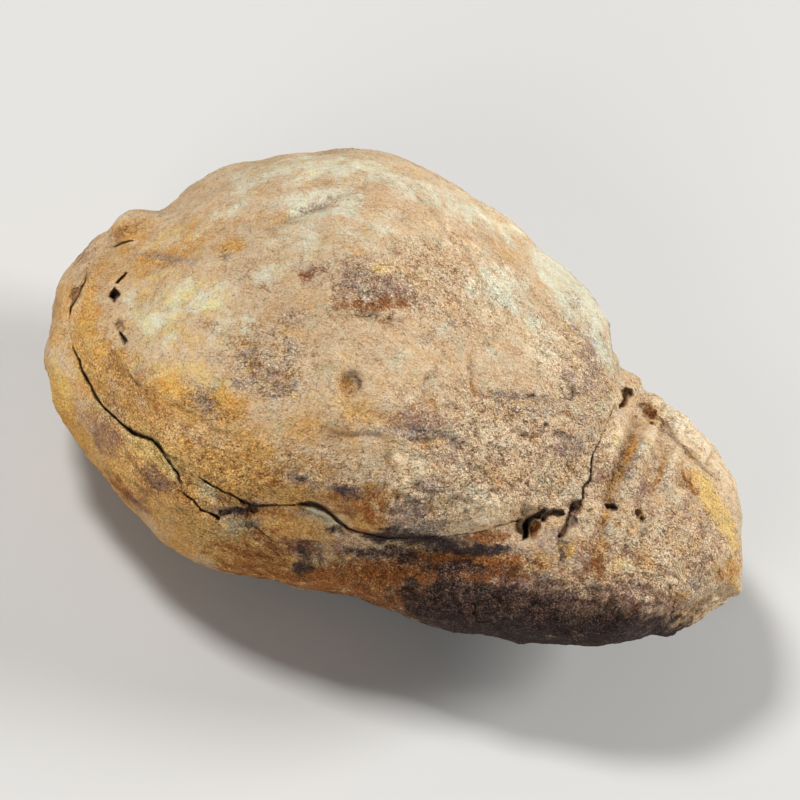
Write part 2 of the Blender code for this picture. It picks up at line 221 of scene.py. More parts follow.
# Swellings and, below zero, troughs: name, middle, half length, half width, angle, height in mm.
SWELLINGS = (
    ("crease", 310, 209, 44, 5, -24, -0.5),
    ("crease_lip", 312, 222, 42, 7, -24, 0.25),
    ("pit_bank", 372, 405, 34, 6, -4, 0.12),
    ("gully", 423, 382, 22, 5, -52, -0.4),
    ("plate_fold", 471, 374, 26, 4, 84, -0.42),
    ("plate_foot", 528, 396, 54, 3.5, 5, -0.4),
    ("slate_fold", 422, 431, 28, 4, 12, -0.35),
    ("pale_fold", 394, 470, 18, 3.5, 62, -0.3),
    ("crest_fold", 430, 210, 40, 3.5, 50, -0.28),
    ("grey_fold", 248, 366, 30, 4, 60, -0.25),
    ("notch_foot", 560, 545, 18, 4, 82, -0.35),
    ("plate_rim", 470, 402, 34, 4, -4, 0.15),
    ("cheek_lip", 500, 519, 60, 6, -16, 0.3),
    ("rib_1", 612, 452, 40, 7, 112, 0.5),
    ("rib_2", 637, 463, 40, 9, 114, 0.6),
    ("rib_3", 671, 468, 30, 9, 112, 0.55),
    ("rib_2_foot", 622, 530, 26, 6, 98, 0.25),
    ("rib_3_foot", 648, 535, 24, 6, 96, 0.25),
    ("furrow_foot", 604, 524, 20, 4, 98, -0.2),
    ("scar", 690, 488, 20, 7, 55, -0.35),
    ("scar_edge", 681, 480, 18, 2.5, 60, -0.35),
    ("knob_trough", 126, 234, 26, 4, -28, -0.5),
    ("knob_hollow_foot", 73, 294, 10, 5, 110, -0.4),
    ("far_trough", 686, 449, 50, 5, 45, -0.45),
    ("hinge_rim", 518, 517, 7, 9, 10, 0.9),
    ("hinge_lip", 531, 502, 13, 6, -15, 0.7),
    ("olive_bank", 197, 398, 40, 12, 30, -0.25),
    ("golden_bank", 150, 380, 50, 10, 35, 0.25),
    ("pale_ridge", 397, 478, 16, 3, 60, 0.3),
    ("seam_ledge", 415, 548, 60, 8, 3, -0.45),
    ("front_ridge", 126, 364, 28, 3, 50, 0.25),
    ("front_ledge", 100, 330, 36, 4, 98, 0.2),
    ("mid_flank_lump", 515, 562, 16, 9, 15, 0.35),
    ("flank_hollow", 455, 562, 42, 9, 6, -0.5),
    ("flank_block", 545, 580, 14, 9, 10, 0.35),
    ("flank_lump", 303, 562, 14, 12, 70, 0.45),
    ("purple_patch_rim", 322, 562, 12, 5, 80, -0.25),
    ("flake_1", 395, 597, 22, 4, -35, -0.3),
    ("flake_2", 415, 606, 22, 4, -50, 0.3),
    ("flake_3", 505, 606, 22, 4, 40, -0.3),
    ("flake_4", 565, 615, 26, 4, 15, 0.25),
    ("flake_5", 615, 605, 22, 4, 60, -0.3),
    ("chip_corner", 737, 588, 11, 7, 70, 0.65),
    ("chip_low", 692, 622, 24, 8, -33, 0.4),
    ("chip_end", 668, 635, 14, 8, -20, 0.6),
    ("block_1", 653, 399, 10, 6, 38, 0.35),
    ("block_2", 675, 421, 10, 7, 42, 0.4),
    ("block_3", 698, 443, 12, 7, 46, 0.4),
    ("block_4", 720, 470, 12, 6, 58, 0.3),
    ("block_gap_1", 664, 407, 2.5, 10, 25, -0.5),
    ("block_gap_2", 687, 429, 2.5, 11, 25, -0.5),
    ("block_gap_3", 711, 457, 2.5, 10, 30, -0.4),
)

# Low scarps: name, middle, half length, reach, angle, and the step in mm, up to the left of that direction.
SCARPS = (
    ("dome_gully", 424, 385, 22, 26, 118, -0.28),
    ("dome_gully_back", 410, 392, 22, 16, 122, 0.22),
    ("plate_front", 473, 382, 20, 22, 84, -0.3),
    ("plate_top", 515, 398, 42, 26, 4, 0.28),
    ("plate_end", 569, 385, 22, 18, 62, 0.3),
    ("rim_scarp", 597, 372, 32, 12, 66, -0.34),
    ("rim_mint", 545, 300, 40, 16, 44, 0.26),
    ("upper_right", 470, 230, 60, 18, 36, -0.2),
    ("upper_right_low", 440, 262, 36, 14, 30, 0.18),
    ("rust_shelf", 372, 316, 44, 24, 4, 0.28),
    ("rust_side", 330, 290, 22, 14, 80, -0.2),
    ("crest_line", 290, 325, 30, 14, -22, 0.2),
    ("band_line", 240, 262, 40, 14, -12, 0.24),
    ("band_low", 166, 262, 30, 12, 10, 0.18),
    ("left_shelf", 128, 366, 34, 16, 52, 0.3),
    ("cheek_line", 200, 418, 46, 18, 28, 0.26),
    ("grey_side", 258, 348, 24, 14, -40, -0.2),
    ("mid_ledge", 356, 432, 40, 20, 6, 0.26),
    ("slate_ledge", 428, 438, 30, 14, -6, 0.32),
    ("pale_plate", 398, 474, 26, 18, 66, 0.34),
    ("low_ledge", 445, 492, 36, 16, 14, 0.26),
    ("right_plate", 540, 470, 34, 18, 130, 0.22),
    ("right_plate_low", 500, 440, 30, 18, 150, 0.2),
    ("left_low_fold", 140, 470, 34, 16, 48, 0.28),
    ("left_low_fold_2", 215, 548, 30, 14, 24, 0.24),
    ("flank_shelf", 350, 560, 40, 14, 10, 0.3),
    ("flank_scale_1", 420, 592, 26, 10, 60, 0.34),
    ("flank_scale_2", 462, 606, 26, 10, 68, 0.34),
    ("flank_scale_3", 512, 606, 26, 10, 100, 0.32),
    ("flank_scale_4", 556, 612, 22, 9, 30, 0.32),
    ("flank_scale_5", 600, 600, 24, 9, 80, 0.3),
    ("flank_scale_6", 645, 600, 20, 9, 115, 0.3),
    ("chip_edge", 704, 604, 40, 12, -33, -0.35),
    ("knob_side", 88, 272, 22, 10, 118, 0.45),
    ("knob_2_side", 128, 232, 30, 9, -28, 0.35),
)

# Where the grain is coarse: middle, half length, half width, angle, strength.
COARSE_GROUND = (
    (520, 455, 120, 62, 12, 0.95), (575, 370, 60, 36, 60, 0.85), (430, 500, 70, 34, 10, 0.8),
    (470, 300, 60, 50, 20, 0.4), (655, 560, 85, 50, 0, 0.75), (600, 470, 26, 46, 22, 0.35),
    (650, 470, 26, 40, 22, 0.3), (700, 500, 30, 50, 0, 0.35), (540, 600, 150, 42, 5, 0.9), (390, 570, 80, 30, 8, 0.8),
    (190, 480, 90, 40, 35, 0.6), (270, 560, 80, 26, 14, 0.6), (372, 288, 44, 28, 0, 0.85),
    (268, 362, 40, 34, 20, 0.6), (210, 405, 40, 22, 25, 0.45), (430, 275, 40, 40, 0, 0.5),
    (665, 410, 50, 22, 45, 0.5), (130, 400, 60, 30, 60, 0.35), (250, 475, 80, 30, 14, 0.55),
    (330, 470, 60, 26, 16, 0.35),
)

# Stains, as soft ovals: middle, half length, half width, angle, strength.
STAINS = {
    "mint": (
        (182, 304, 40, 18, -8, 0.55), (225, 330, 26, 12, 0, 0.3), (192, 235, 20, 9, -20, 0.5),
        (145, 450, 22, 8, 32, 0.6), (100, 405, 16, 7, 50, 0.5), (235, 533, 24, 12, 20, 0.8),
        (205, 492, 16, 7, 30, 0.6), (215, 560, 26, 7, 20, 0.4), (160, 520, 20, 8, 40, 0.3),
        (280, 425, 40, 12, 12, 0.1), (340, 400, 40, 16, 5, 0.2), (130, 305, 16, 10, 80, 0.5),
        (300, 245, 30, 10, -10, 0.35), (330, 340, 30, 12, 0, 0.3), (180, 225, 30, 8, -35, 0.35),
        (665, 400, 20, 8, 40, 0.35), (712, 440, 26, 7, 48, 0.35), (686, 415, 16, 8, 44, 0.4),
        (322, 168, 66, 16, -3, 0.6), (250, 180, 34, 10, -18, 0.5), (395, 180, 40, 14, 22, 0.5),
        (340, 190, 22, 9, -10, 0.5), (573, 276, 46, 22, 52, 1), (498, 290, 36, 22, 40, 0.9),
        (575, 290, 54, 26, 55, 1), (602, 348, 44, 10, 66, 0.7), (520, 340, 80, 60, 50, 0.25),
        (215, 530, 32, 12, 10, 0.6), (160, 452, 40, 20, 40, 0.6), (450, 205, 44, 12, 30, 0.5),
        (540, 330, 20, 12, 40, 0.4), (203, 300, 30, 12, -2, 0.6), (185, 283, 16, 10, 0, 0.4),
        (268, 275, 20, 10, -10, 0.8), (298, 264, 16, 8, -15, 0.5), (228, 292, 24, 10, 15, 0.5),
        (172, 340, 12, 8, 0, 0.7), (300, 198, 30, 10, -15, 0.6), (232, 205, 26, 10, -30, 0.5),
        (148, 320, 24, 14, 20, 0.6), (238, 320, 20, 14, 0, 0.5), (395, 365, 24, 8, -38, 0.6),
        (345, 205, 20, 7, -30, 0.6), (322, 513, 24, 4.5, 22, 1), (330, 521, 12, 3.5, 30, 0.8),
        (674, 419, 16, 10, 42, 0.35), (697, 442, 17, 8, 46, 0.3), (721, 472, 17, 6, 62, 0.2),
        (330, 230, 90, 40, 0, 0.35), (500, 220, 80, 20, 38, 0.4), (318, 205, 34, 6, -24, 0.9),
        (640, 388, 12, 6, 40, 0.4), (203, 488, 12, 6, 20, 0.7), (500, 514, 22, 5, -18, 0.4),
        (245, 528, 16, 8, 10, 0.6), (342, 555, 14, 6, 10, 0.4), (163, 452, 10, 5, 40, 0.5),
        (640, 446, 6, 16, 24, 0.3), (672, 462, 6, 16, 24, 0.4), (617, 512, 6, 10, 20, 0.4),
        (440, 330, 20, 8, -40, 0.3), (215, 345, 14, 8, 0, 0.4),
    ),
    "crust": (
        (225, 486, 20, 8, 22, 0.5), (462, 527, 22, 6, -6, 0.7), (240, 345, 18, 10, -20, 0.4),
        (402, 488, 12, 8, 0, 0.4), (500, 215, 90, 16, 38, 0.5), (470, 526, 26, 6, -10, 0.9),
        (140, 470, 60, 26, 45, 0.5), (708, 611, 36, 6, -33, 1), (690, 430, 60, 14, 44, 0.8),
        (725, 480, 30, 8, 66, 0.6), (375, 272, 16, 9, 0, 0.8), (617, 398, 4, 10, 20, 0.8), (460, 505, 60, 16, 4, 0.5),
        (480, 510, 46, 12, -4, 0.9), (560, 360, 40, 30, 60, 0.7), (490, 435, 24, 12, 0, 0.6),
        (655, 415, 16, 12, 40, 0.8), (380, 286, 44, 26, 0, 0.4), (264, 370, 28, 20, 0, 0.5),
        (398, 474, 18, 10, 60, 0.7), (612, 445, 30, 7, 112, 1), (500, 300, 60, 40, 40, 0.3),
        (670, 590, 50, 10, -10, 0.4), (200, 448, 50, 22, 30, 0.7), (170, 480, 40, 18, 40, 0.4),
        (540, 440, 60, 30, 10, 0.35), (652, 436, 14, 7, 112, 0.5), (676, 455, 24, 7, 112, 0.5),
        (560, 590, 30, 8, 0, 0.4), (440, 470, 60, 22, 10, 0.4), (640, 560, 50, 20, 0, 0.3),
        (465, 250, 50, 16, 40, 0.4), (330, 360, 60, 20, 0, 0.2),
    ),
    "ochre": (
        (228, 490, 24, 9, 22, 0.9), (560, 552, 22, 9, 0, 0.5), (280, 430, 34, 12, 10, 0.45),
        (380, 490, 20, 9, 10, 0.5), (345, 420, 50, 16, 6, 0.3), (690, 500, 20, 12, 60, 0.4),
        (300, 395, 20, 12, 0, 0.45), (98, 268, 22, 9, -60, 0.5), (170, 452, 34, 20, 40, 0.35),
        (398, 492, 22, 9, 0, 0.4), (360, 530, 24, 8, 10, 0.5), (700, 528, 20, 18, 0, 0.25),
        (605, 480, 12, 20, 20, 0.3), (500, 272, 26, 12, 36, 0.15), (536, 529, 6, 9, 10, 0.9),
        (120, 440, 90, 46, 50, 0.6), (240, 530, 130, 44, 16, 0.65), (250, 480, 100, 30, 14, 0.5),
        (90, 340, 70, 30, 75, 0.5), (190, 400, 60, 30, 30, 0.4), (170, 250, 70, 26, -25, 0.35),
        (92, 372, 56, 13, 68, 0.9), (88, 312, 34, 12, 100, 0.8), (150, 262, 60, 12, -20, 0.6),
        (118, 365, 34, 12, 50, 0.7), (160, 392, 54, 18, 30, 0.8), (150, 430, 44, 22, 40, 0.75),
        (228, 405, 22, 16, 18, 0.9), (235, 440, 56, 22, 18, 0.75), (250, 478, 74, 22, 14, 1),
        (345, 498, 36, 14, 18, 0.8), (360, 515, 32, 10, 30, 1), (128, 470, 62, 26, 45, 0.85),
        (190, 515, 60, 22, 24, 0.85), (240, 556, 90, 18, 14, 1), (285, 524, 44, 16, 10, 0.9),
        (232, 246, 17, 8, -16, 1), (275, 221, 16, 7, -22, 0.6), (56, 338, 10, 22, 100, 0.5), (58, 318, 9, 34, 8, 0.5),
        (220, 215, 60, 20, -28, 0.15), (130, 222, 26, 8, -28, 0.45), (130, 235, 30, 10, -30, 0.4),
        (255, 345, 18, 10, 0, 0.5), (283, 378, 22, 12, -20, 0.6), (290, 330, 20, 10, 0, 0.3),
        (432, 407, 16, 10, 60, 0.3), (426, 374, 20, 4, -52, 0.5), (473, 384, 16, 4, 75, 0.6),
        (450, 300, 22, 10, 30, 0.3), (500, 250, 40, 8, 38, 0.3), (625, 461, 42, 5.5, 114, 0.9),
        (658, 475, 28, 4.5, 116, 0.7), (606, 432, 34, 6, 112, 0.2), (604, 520, 13, 4, 110, 0.8),
        (634, 530, 12, 4, 105, 0.5), (690, 478, 14, 8, 60, 0.5), (650, 412, 16, 9, 40, 0.7),
        (600, 555, 24, 10, 100, 0.6), (645, 565, 24, 12, 90, 0.5), (540, 560, 26, 10, 60, 0.6),
        (735, 570, 30, 6, 90, 0.5), (430, 440, 14, 8, 10, 0.5), (500, 480, 14, 9, 40, 0.3),
        (349, 387, 11, 10, 0, 0.9), (300, 578, 80, 12, 10, 0.8), (120, 240, 60, 24, -35, 0.15),
        (66, 320, 50, 18, 95, 0.2), (230, 215, 80, 26, -28, 0.1), (60, 410, 60, 12, 68, 0.8),
        (352, 405, 32, 18, 0, 0.5), (722, 572, 18, 14, 0, 0.6), (376, 508, 26, 20, 30, 0.7),
        (380, 575, 70, 12, 8, 0.8), (680, 600, 20, 8, -30, 0.4), (390, 420, 60, 10, 5, 0.25),
        (330, 440, 60, 16, 12, 0.35), (310, 465, 50, 10, 10, 0.4), (192, 340, 20, 10, 0, 0.25),
        (478, 560, 50, 8, 6, 0.9),
    ),
    "ember": (
        (360, 532, 22, 6, 10, 0.4), (460, 572, 30, 8, 4, 0.5), (282, 532, 20, 7, 12, 0.35),
        (490, 537, 26, 5, -8, 0.9), (486, 570, 46, 14, 4, 1), (438, 562, 44, 12, 5, 0.9), (392, 574, 44, 12, 8, 0.8),
        (340, 578, 40, 9, 10, 0.6), (530, 562, 16, 9, 30, 0.6), (345, 505, 30, 12, 20, 0.5),
        (374, 508, 24, 18, 30, 0.6), (385, 525, 20, 8, 10, 0.5), (352, 305, 22, 8, 10, 0.5),
        (395, 300, 26, 10, 6, 0.4), (376, 307, 38, 6, 3, 0.4), (313, 272, 14, 6, -34, 0.5),
        (262, 375, 20, 14, 20, 0.2), (420, 408, 10, 12, 70, 0.5), (536, 529, 7, 11, 10, 0.6),
        (650, 414, 10, 6, 45, 0.6), (272, 480, 30, 8, 14, 0.4), (182, 492, 10, 14, 20, 0.7),
        (125, 492, 34, 7, 48, 0.6), (285, 545, 60, 10, 12, 0.5), (230, 570, 40, 8, 14, 0.4),
        (250, 515, 10, 7, 0, 0.6), (155, 400, 30, 10, 30, 0.3), (110, 400, 20, 8, 50, 0.35),
        (335, 588, 60, 14, 12, 0.75), (385, 602, 40, 14, 24, 0.85), (270, 575, 50, 10, 12, 0.5),
        (440, 575, 60, 16, 8, 0.5), (560, 618, 160, 22, 2, 0.5), (455, 566, 46, 16, 4, 1),
        (495, 560, 30, 13, 0, 0.95), (450, 610, 60, 9, 8, 0.6), (250, 554, 44, 12, 14, 0.7),
        (720, 575, 16, 12, 0, 0.3), (400, 595, 60, 14, 18, 0.8), (470, 566, 40, 12, 5, 0.9),
        (320, 575, 40, 8, 10, 0.5), (600, 575, 60, 10, 0, 0.35), (628, 445, 26, 3.5, 112, 0.35),
        (660, 470, 20, 3.5, 112, 0.45), (690, 486, 20, 4, 58, 0.5), (482, 538, 26, 5, -4, 1),
        (462, 565, 46, 13, 4, 1), (390, 570, 50, 10, 10, 1), (275, 514, 22, 6, 8, 0.6), (340, 572, 40, 9, 8, 0.6),
        (590, 560, 30, 8, 0, 0.35),
    ),
    "yellow": (
        (225, 488, 18, 8, 20, 0.35), (300, 392, 16, 10, 0, 0.3), (62, 392, 44, 9, 72, 0.9), (82, 445, 30, 7, 50, 0.6),
        (711, 502, 36, 11, 60, 1), (729, 532, 24, 7, 75, 0.8), (383, 267, 10, 7, 0, 0.45), (92, 335, 26, 8, 70, 0.5),
        (160, 240, 24, 7, -30, 0.4), (245, 402, 26, 9, 0, 0.5), (618, 436, 20, 4, 112, 0.25),
        (255, 365, 16, 12, 20, 0.4), (320, 390, 14, 8, 0, 0.3), (700, 486, 14, 7, 60, 0.6),
        (622, 563, 16, 13, 0, 0.35), (564, 550, 12, 14, 0, 0.5), (529, 573, 10, 6, 0, 0.7), (50, 400, 50, 9, 76, 1),
        (62, 436, 34, 8, 58, 0.9), (120, 235, 50, 24, -35, 0.15), (210, 210, 90, 34, -28, 0.1),
        (170, 330, 80, 50, 0, 0.3), (200, 382, 60, 20, 10, 0.4), (170, 285, 60, 40, 0, 0.25),
        (330, 165, 110, 12, 0, 0.2), (470, 200, 60, 14, 30, 0.12),
    ),
    "rust": (
        (640, 512, 26, 8, 10, 0.3), (600, 488, 12, 14, 20, 0.3), (262, 432, 18, 8, 20, 0.2),
        (560, 568, 26, 8, 0, 0.3), (98, 422, 28, 13, 42, 0.35), (560, 602, 170, 22, 2, 0.85),
        (440, 600, 60, 26, 14, 0.6), (156, 482, 26, 15, 34, 0.7), (372, 287, 54, 34, 4, 0.24),
        (265, 370, 36, 30, 20, 0.12), (200, 440, 24, 8, 30, 0.4), (90, 465, 20, 8, 50, 0.35),
        (230, 500, 20, 7, 20, 0.5), (175, 420, 16, 7, 30, 0.4), (300, 548, 30, 9, 8, 0.6), (240, 580, 40, 8, 16, 0.5),
        (600, 556, 60, 14, 0, 0.5), (560, 545, 40, 10, 0, 0.3), (376, 300, 36, 13, 4, 0.25),
        (408, 298, 24, 12, 20, 0.5), (350, 262, 18, 12, -20, 0.25), (313, 272, 16, 8, -34, 0.9),
        (290, 316, 20, 6, -18, 0.7), (270, 288, 26, 5, 6, 0.4), (208, 327, 14, 8, 10, 0.45),
        (264, 366, 30, 24, 20, 0.12), (576, 302, 14, 6, 40, 0.5), (588, 350, 42, 12, 64, 0.15),
        (582, 382, 24, 10, 40, 0.2), (560, 372, 24, 8, 10, 0.2), (430, 382, 14, 6, -50, 0.4),
        (418, 420, 36, 10, 2, 0.55), (405, 510, 24, 12, 8, 0.6), (350, 492, 26, 8, 14, 0.6),
        (495, 395, 36, 8, 8, 0.45), (462, 568, 46, 11, 6, 0.95), (400, 562, 50, 9, 10, 0.75),
        (155, 478, 18, 12, 30, 0.6), (112, 428, 20, 10, 40, 0.5), (114, 365, 14, 8, 40, 0.45),
        (137, 502, 20, 9, 45, 0.6), (650, 412, 11, 7, 45, 0.7), (688, 484, 12, 5, 60, 0.45),
        (532, 529, 5, 8, 10, 0.3), (605, 470, 7, 16, 20, 0.75), (640, 494, 12, 8, 0, 0.5),
        (350, 415, 44, 22, 4, 0.25), (86, 250, 22, 9, -50, 0.5), (573, 512, 7, 14, 20, 0.7),
        (580, 522, 8, 10, 20, 0.5), (622, 590, 34, 10, 0, 0.6), (350, 395, 14, 6, -10, 0.4), (122, 325, 5, 7, 0, 0.7),
        (76, 292, 7, 14, 20, 0.5), (120, 231, 14, 5, -20, 0.45), (262, 537, 10, 6, 0, 0.5),
        (400, 250, 24, 14, 20, 0.25), (430, 340, 12, 10, 0, 0.3), (350, 236, 14, 6, 0, 0.3),
        (700, 560, 20, 16, 0, 0.35), (470, 585, 40, 8, 8, 0.5), (545, 585, 20, 10, 10, 0.4),
    ),
    "mauve": (
        (700, 530, 22, 18, 0, 0.3), (655, 512, 26, 12, 10, 0.3), (560, 450, 22, 12, 0, 0.3),
        (360, 432, 24, 9, 4, 0.3), (560, 570, 26, 9, 0, 0.3), (588, 352, 44, 12, 64, 0.45),
        (582, 384, 22, 8, 40, 0.4), (556, 372, 24, 10, 10, 0.2), (95, 420, 30, 16, 48, 0.4),
        (112, 445, 26, 14, 48, 0.5), (156, 482, 26, 16, 34, 0.7), (137, 502, 20, 9, 45, 0.6),
        (165, 256, 34, 6, 9, 0.5), (587, 577, 26, 9, 0, 0.15), (632, 586, 20, 8, 0, 0.7), (560, 592, 70, 10, 2, 0.25),
        (660, 602, 34, 10, -10, 0.4), (340, 548, 30, 8, 10, 0.6), (540, 546, 34, 14, 0, 0.3),
        (395, 518, 16, 12, 0, 0.4), (372, 288, 42, 17, 4, 0.45), (268, 366, 34, 26, 20, 0.35),
        (300, 548, 30, 10, 8, 0.5), (345, 493, 22, 7, 14, 0.6), (417, 421, 34, 9, 2, 0.6), (600, 474, 9, 15, 22, 0.6),
        (435, 486, 22, 7, 10, 0.6), (383, 488, 12, 5, 0, 0.5), (470, 455, 60, 20, 10, 0.25),
        (560, 440, 50, 20, 10, 0.25), (510, 580, 26, 11, 4, 0.9), (640, 490, 14, 14, 0, 0.5),
        (146, 374, 16, 7, 30, 0.5), (310, 272, 16, 8, -34, 0.6), (130, 226, 30, 10, -30, 0.25),
        (575, 510, 5, 12, 20, 0.9), (560, 527, 14, 8, 0, 0.35), (688, 505, 10, 16, 20, 0.4),
        (620, 602, 60, 12, 0, 0.4),
    ),
    "slate": (
        (300, 513, 20, 7, 14, 0.6), (222, 532, 16, 7, 14, 0.4), (340, 532, 14, 7, 14, 0.4),
        (428, 528, 30, 9, -4, 0.95), (390, 532, 20, 6, 0, 0.6), (240, 522, 24, 14, 10, 0.7),
        (222, 514, 16, 7, 0, 0.9), (362, 282, 40, 24, 10, 0.22), (262, 366, 34, 26, 20, 0.2),
        (520, 556, 30, 8, 10, 0.5), (575, 560, 30, 8, 0, 0.5), (100, 440, 16, 7, 50, 0.4), (185, 510, 14, 7, 30, 0.3),
        # The patch at (560, 545) paints shade into the hollow right of the hinge.
        (412, 507, 22, 13, 10, 0.5), (240, 511, 26, 6, 0, 0.8), (560, 545, 6, 18, -8, 0.6), (520, 410, 40, 8, 6, 0.5),
        (355, 272, 22, 14, 20, 0.4), (382, 290, 22, 10, -10, 0.2), (252, 354, 20, 9, -28, 0.35),
        (240, 384, 16, 9, 10, 0.6), (280, 388, 20, 9, -20, 0.8), (290, 352, 10, 10, 0, 0.5),
        (166, 259, 34, 4.5, 9, 0.9), (308, 209, 36, 6, -22, 0.45), (225, 257, 8, 4, 0, 0.7),
        (415, 432, 36, 9, 4, 0.9), (528, 397, 50, 5, 6, 0.6), (471, 376, 4, 22, -6, 0.4),
        (570, 446, 20, 14, 20, 0.55), (585, 418, 16, 8, -30, 0.5), (418, 508, 18, 12, 10, 0.6),
        (347, 492, 22, 7, 14, 0.8), (206, 406, 24, 13, 24, 0.7), (226, 513, 13, 7, 0, 1), (253, 507, 9, 8, 0, 1),
        (248, 526, 12, 7, 20, 0.7), (302, 566, 12, 15, 10, 0.85), (312, 549, 24, 8, 8, 0.7),
        (455, 446, 12, 6, 0, 0.5), (400, 352, 12, 5, -40, 0.4), (575, 390, 12, 7, 0, 0.5), (633, 464, 7, 26, 24, 0.7),
        (664, 478, 6, 22, 24, 0.5), (690, 512, 12, 8, 40, 0.4), (433, 490, 16, 5, 10, 0.5), (485, 492, 20, 6, 0, 0.4),
        (697, 585, 12, 14, 0, 0.5), (550, 531, 12, 8, 0, 0.5), (607, 530, 6, 10, 10, 0.5), (644, 540, 5, 9, 10, 0.35),
        (573.5, 521, 6, 5, 0, 1), (543, 578, 10, 8, 0, 0.8), (450, 540, 50, 8, 6, 0.6), (545, 511, 7, 3, 0, 0.8),
        (398, 330, 10, 5, 0, 0.35), (480, 255, 10, 5, 20, 0.3), (450, 320, 14, 6, 40, 0.35), (135, 433, 5, 3, 0, 0.7),
        (100, 408, 18, 8, 30, 0.3), (545, 580, 12, 9, 10, 0.7), (370, 430, 30, 8, 6, 0.3), (302, 480, 26, 7, 12, 0.8),
        (515, 430, 30, 8, 20, 0.3), (470, 470, 24, 8, 20, 0.35), (350, 508, 16, 5, 30, 0.5),
        (180, 470, 10, 6, 40, 0.4), (357, 383, 3.5, 8, -8, 0.5),
    ),
    # Partly a purple-black stain, partly painted shade low on the flank and under the seam's ledge.
    "dark": (
        (560, 642, 170, 30, 2, 1), (450, 612, 60, 22, 14, 0.9), (560, 608, 80, 12, 0, 0.5), (414, 538, 44, 9, 5, 0.9),
        (336, 527, 14, 6, 30, 0.6), (375, 535, 18, 6, 0, 0.6), (462, 549, 46, 7.5, 3, 1),
        (636, 638, 48, 12, -14, 0.95), (400, 553, 32, 10, 5, 0.85), (500, 548, 26, 5, 2, 0.8),
        (446, 570, 26, 7, 4, 0.8), (303, 478, 16, 4, 14, 0.4), (560, 646, 150, 20, 0, 1), (488, 550, 14, 6, 0, 0.9),
        (464, 566, 26, 8, 3, 0.8), (305, 560, 14, 18, 10, 0.3), (500, 592, 60, 9, 4, 0.6),
        (375, 592, 34, 10, 20, 0.25), (306, 563, 11, 18, 10, 0.35), (240, 511, 24, 5, 0, 0.6),
        (332, 530, 16, 6, 10, 0.5), (365, 553, 30, 7, 6, 0.7), (560, 545, 5, 16, -8, 0.5),
        (528, 397, 46, 3.5, 6, 0.4), (442, 587, 15, 11, 10, 0.9), (409, 584, 10, 6, 0, 0.7),
        (560, 630, 130, 22, 3, 1), (636, 624, 36, 10, -14, 0.4), (452, 606, 40, 15, 10, 0.5),
        (500, 600, 56, 12, 8, 0.7), (600, 642, 90, 16, 0, 1), (302, 560, 10, 16, 10, 0.4), (416, 432, 24, 5, 4, 0.4),
        (398, 516, 14, 9, 6, 0.15), (346, 492, 16, 5, 14, 0.4), (560, 600, 50, 8, 8, 0.4), (545, 580, 11, 7, 10, 0.5),
        (600, 588, 14, 6, 10, 0.4), (470, 585, 24, 6, 10, 0.5),
    ),
}

# How the stains run on the sides that the camera doesn't see: noise wave length in mm, share covered.
HIDDEN_STAINS = {
    "mint": (13.0, 0.3),
    "crust": (11.0, 0.3),
    "ochre": (15.0, 0.45),
    "ember": (10.0, 0.22),
    "yellow": (9.0, 0.14),
    "rust": (8.0, 0.24),
    "mauve": (9.0, 0.22),
    "slate": (6.0, 0.2),
    "dark": (20.0, 0.0),
}

# The thorax, as in the solid: ring furrows, the axial lobe's middle and half width, in millimetres.
FURROW_FIRST = 24.2
FURROW_SPACING = 3.3
FURROW_COUNT = 3
LOBE_Y = -3.3
LOBE_HALF_WIDTH = 7.6

# Colours that the material uses as they are, and the tint of coarse ground.
COARSE_TINT = (1.15, 1.07, 1.03)
# Grains on the dark film's crests: partly wear, partly painted highlight.
WORN_AND_HIGHLIT_GRAIN = (0.27, 0.145, 0.10)
# Pale specks in the dark film: partly pale grains, partly painted glints.
PALE_SPECK_AND_GLINT = (0.44, 0.32, 0.25)
DARK_PORE = (0.04, 0.024, 0.02)
CRACK_SHADE = (0.04, 0.022, 0.014)

# Broad flecks in the ground: noise scale, the noise that begins and ends a fleck, strength, tint.
GROUND_FLECKS = (
    (150.0, 0.46, 0.62, 0.35, (1.0, 0.93, 0.88)),
    (330.0, 0.50, 0.66, 0.55, (0.99, 0.87, 0.64)),
    (260.0, 0.52, 0.66, 0.60, (0.95, 1.02, 1.08)),
    (640.0, 0.52, 0.66, 0.55, (0.98, 0.84, 0.66)),
    (420.0, 0.53, 0.66, 0.70, (0.84, 0.98, 1.04)),
    (900.0, 0.55, 0.70, 0.60, (0.88, 0.70, 0.48)),
)

# Tints of single grains, from the share of grains where each begins.
GRAIN_TINTS = (
    (0.0, (0.50, 0.38, 0.30)), (0.08, (1.0, 0.82, 0.60)), (0.20, (1.0, 1.0, 1.0)), (0.58, (0.93, 0.84, 0.88)),
    (0.70, (1.04, 0.99, 0.78)), (0.83, (0.86, 0.98, 1.02)), (0.93, (1.20, 1.18, 1.10)),
)

# Stains from the lowest up: brightness of the grains, patch and grain size in mm, patchiness, graininess, and how
# strongly the film and the grains cover.
STAIN_LAYERS = {
    "mint": (1.1, 2.2, 0.33, 0.6, 0.5, 0.85, 0.25),
    "crust": (1.1, 2.0, 0.30, 0.7, 0.8, 0.8, 0.35),
    "ochre": (0.9, 3.4, 0.36, 0.5, 0.6, 1.0, 0.15),
    "yellow": (1.0, 2.3, 0.40, 0.6, 0.6, 0.8, 0.3),
    "rust": (0.9, 1.5, 0.29, 0.7, 1.3, 0.30, 0.6),
    "mauve": (0.9, 1.8, 0.28, 0.7, 1.1, 0.55, 0.5),
    "slate": (1.0, 1.2, 0.31, 0.7, 1.3, 0.26, 0.6),
    "ember": (1.1, 1.5, 0.34, 0.7, 1.0, 0.94, 0.4),
    "dark": (0.8, 1.7, 0.33, 0.5, 0.9, 0.97, 0.6),
}


def length(name, description, value):
    """A setting in metres."""
    return FloatProperty(name=name, description=description, default=value, unit="LENGTH")


def shade(name, description, value):
    """A colour setting."""
    return FloatVectorProperty(name=name, description=description, subtype="COLOR", default=value)


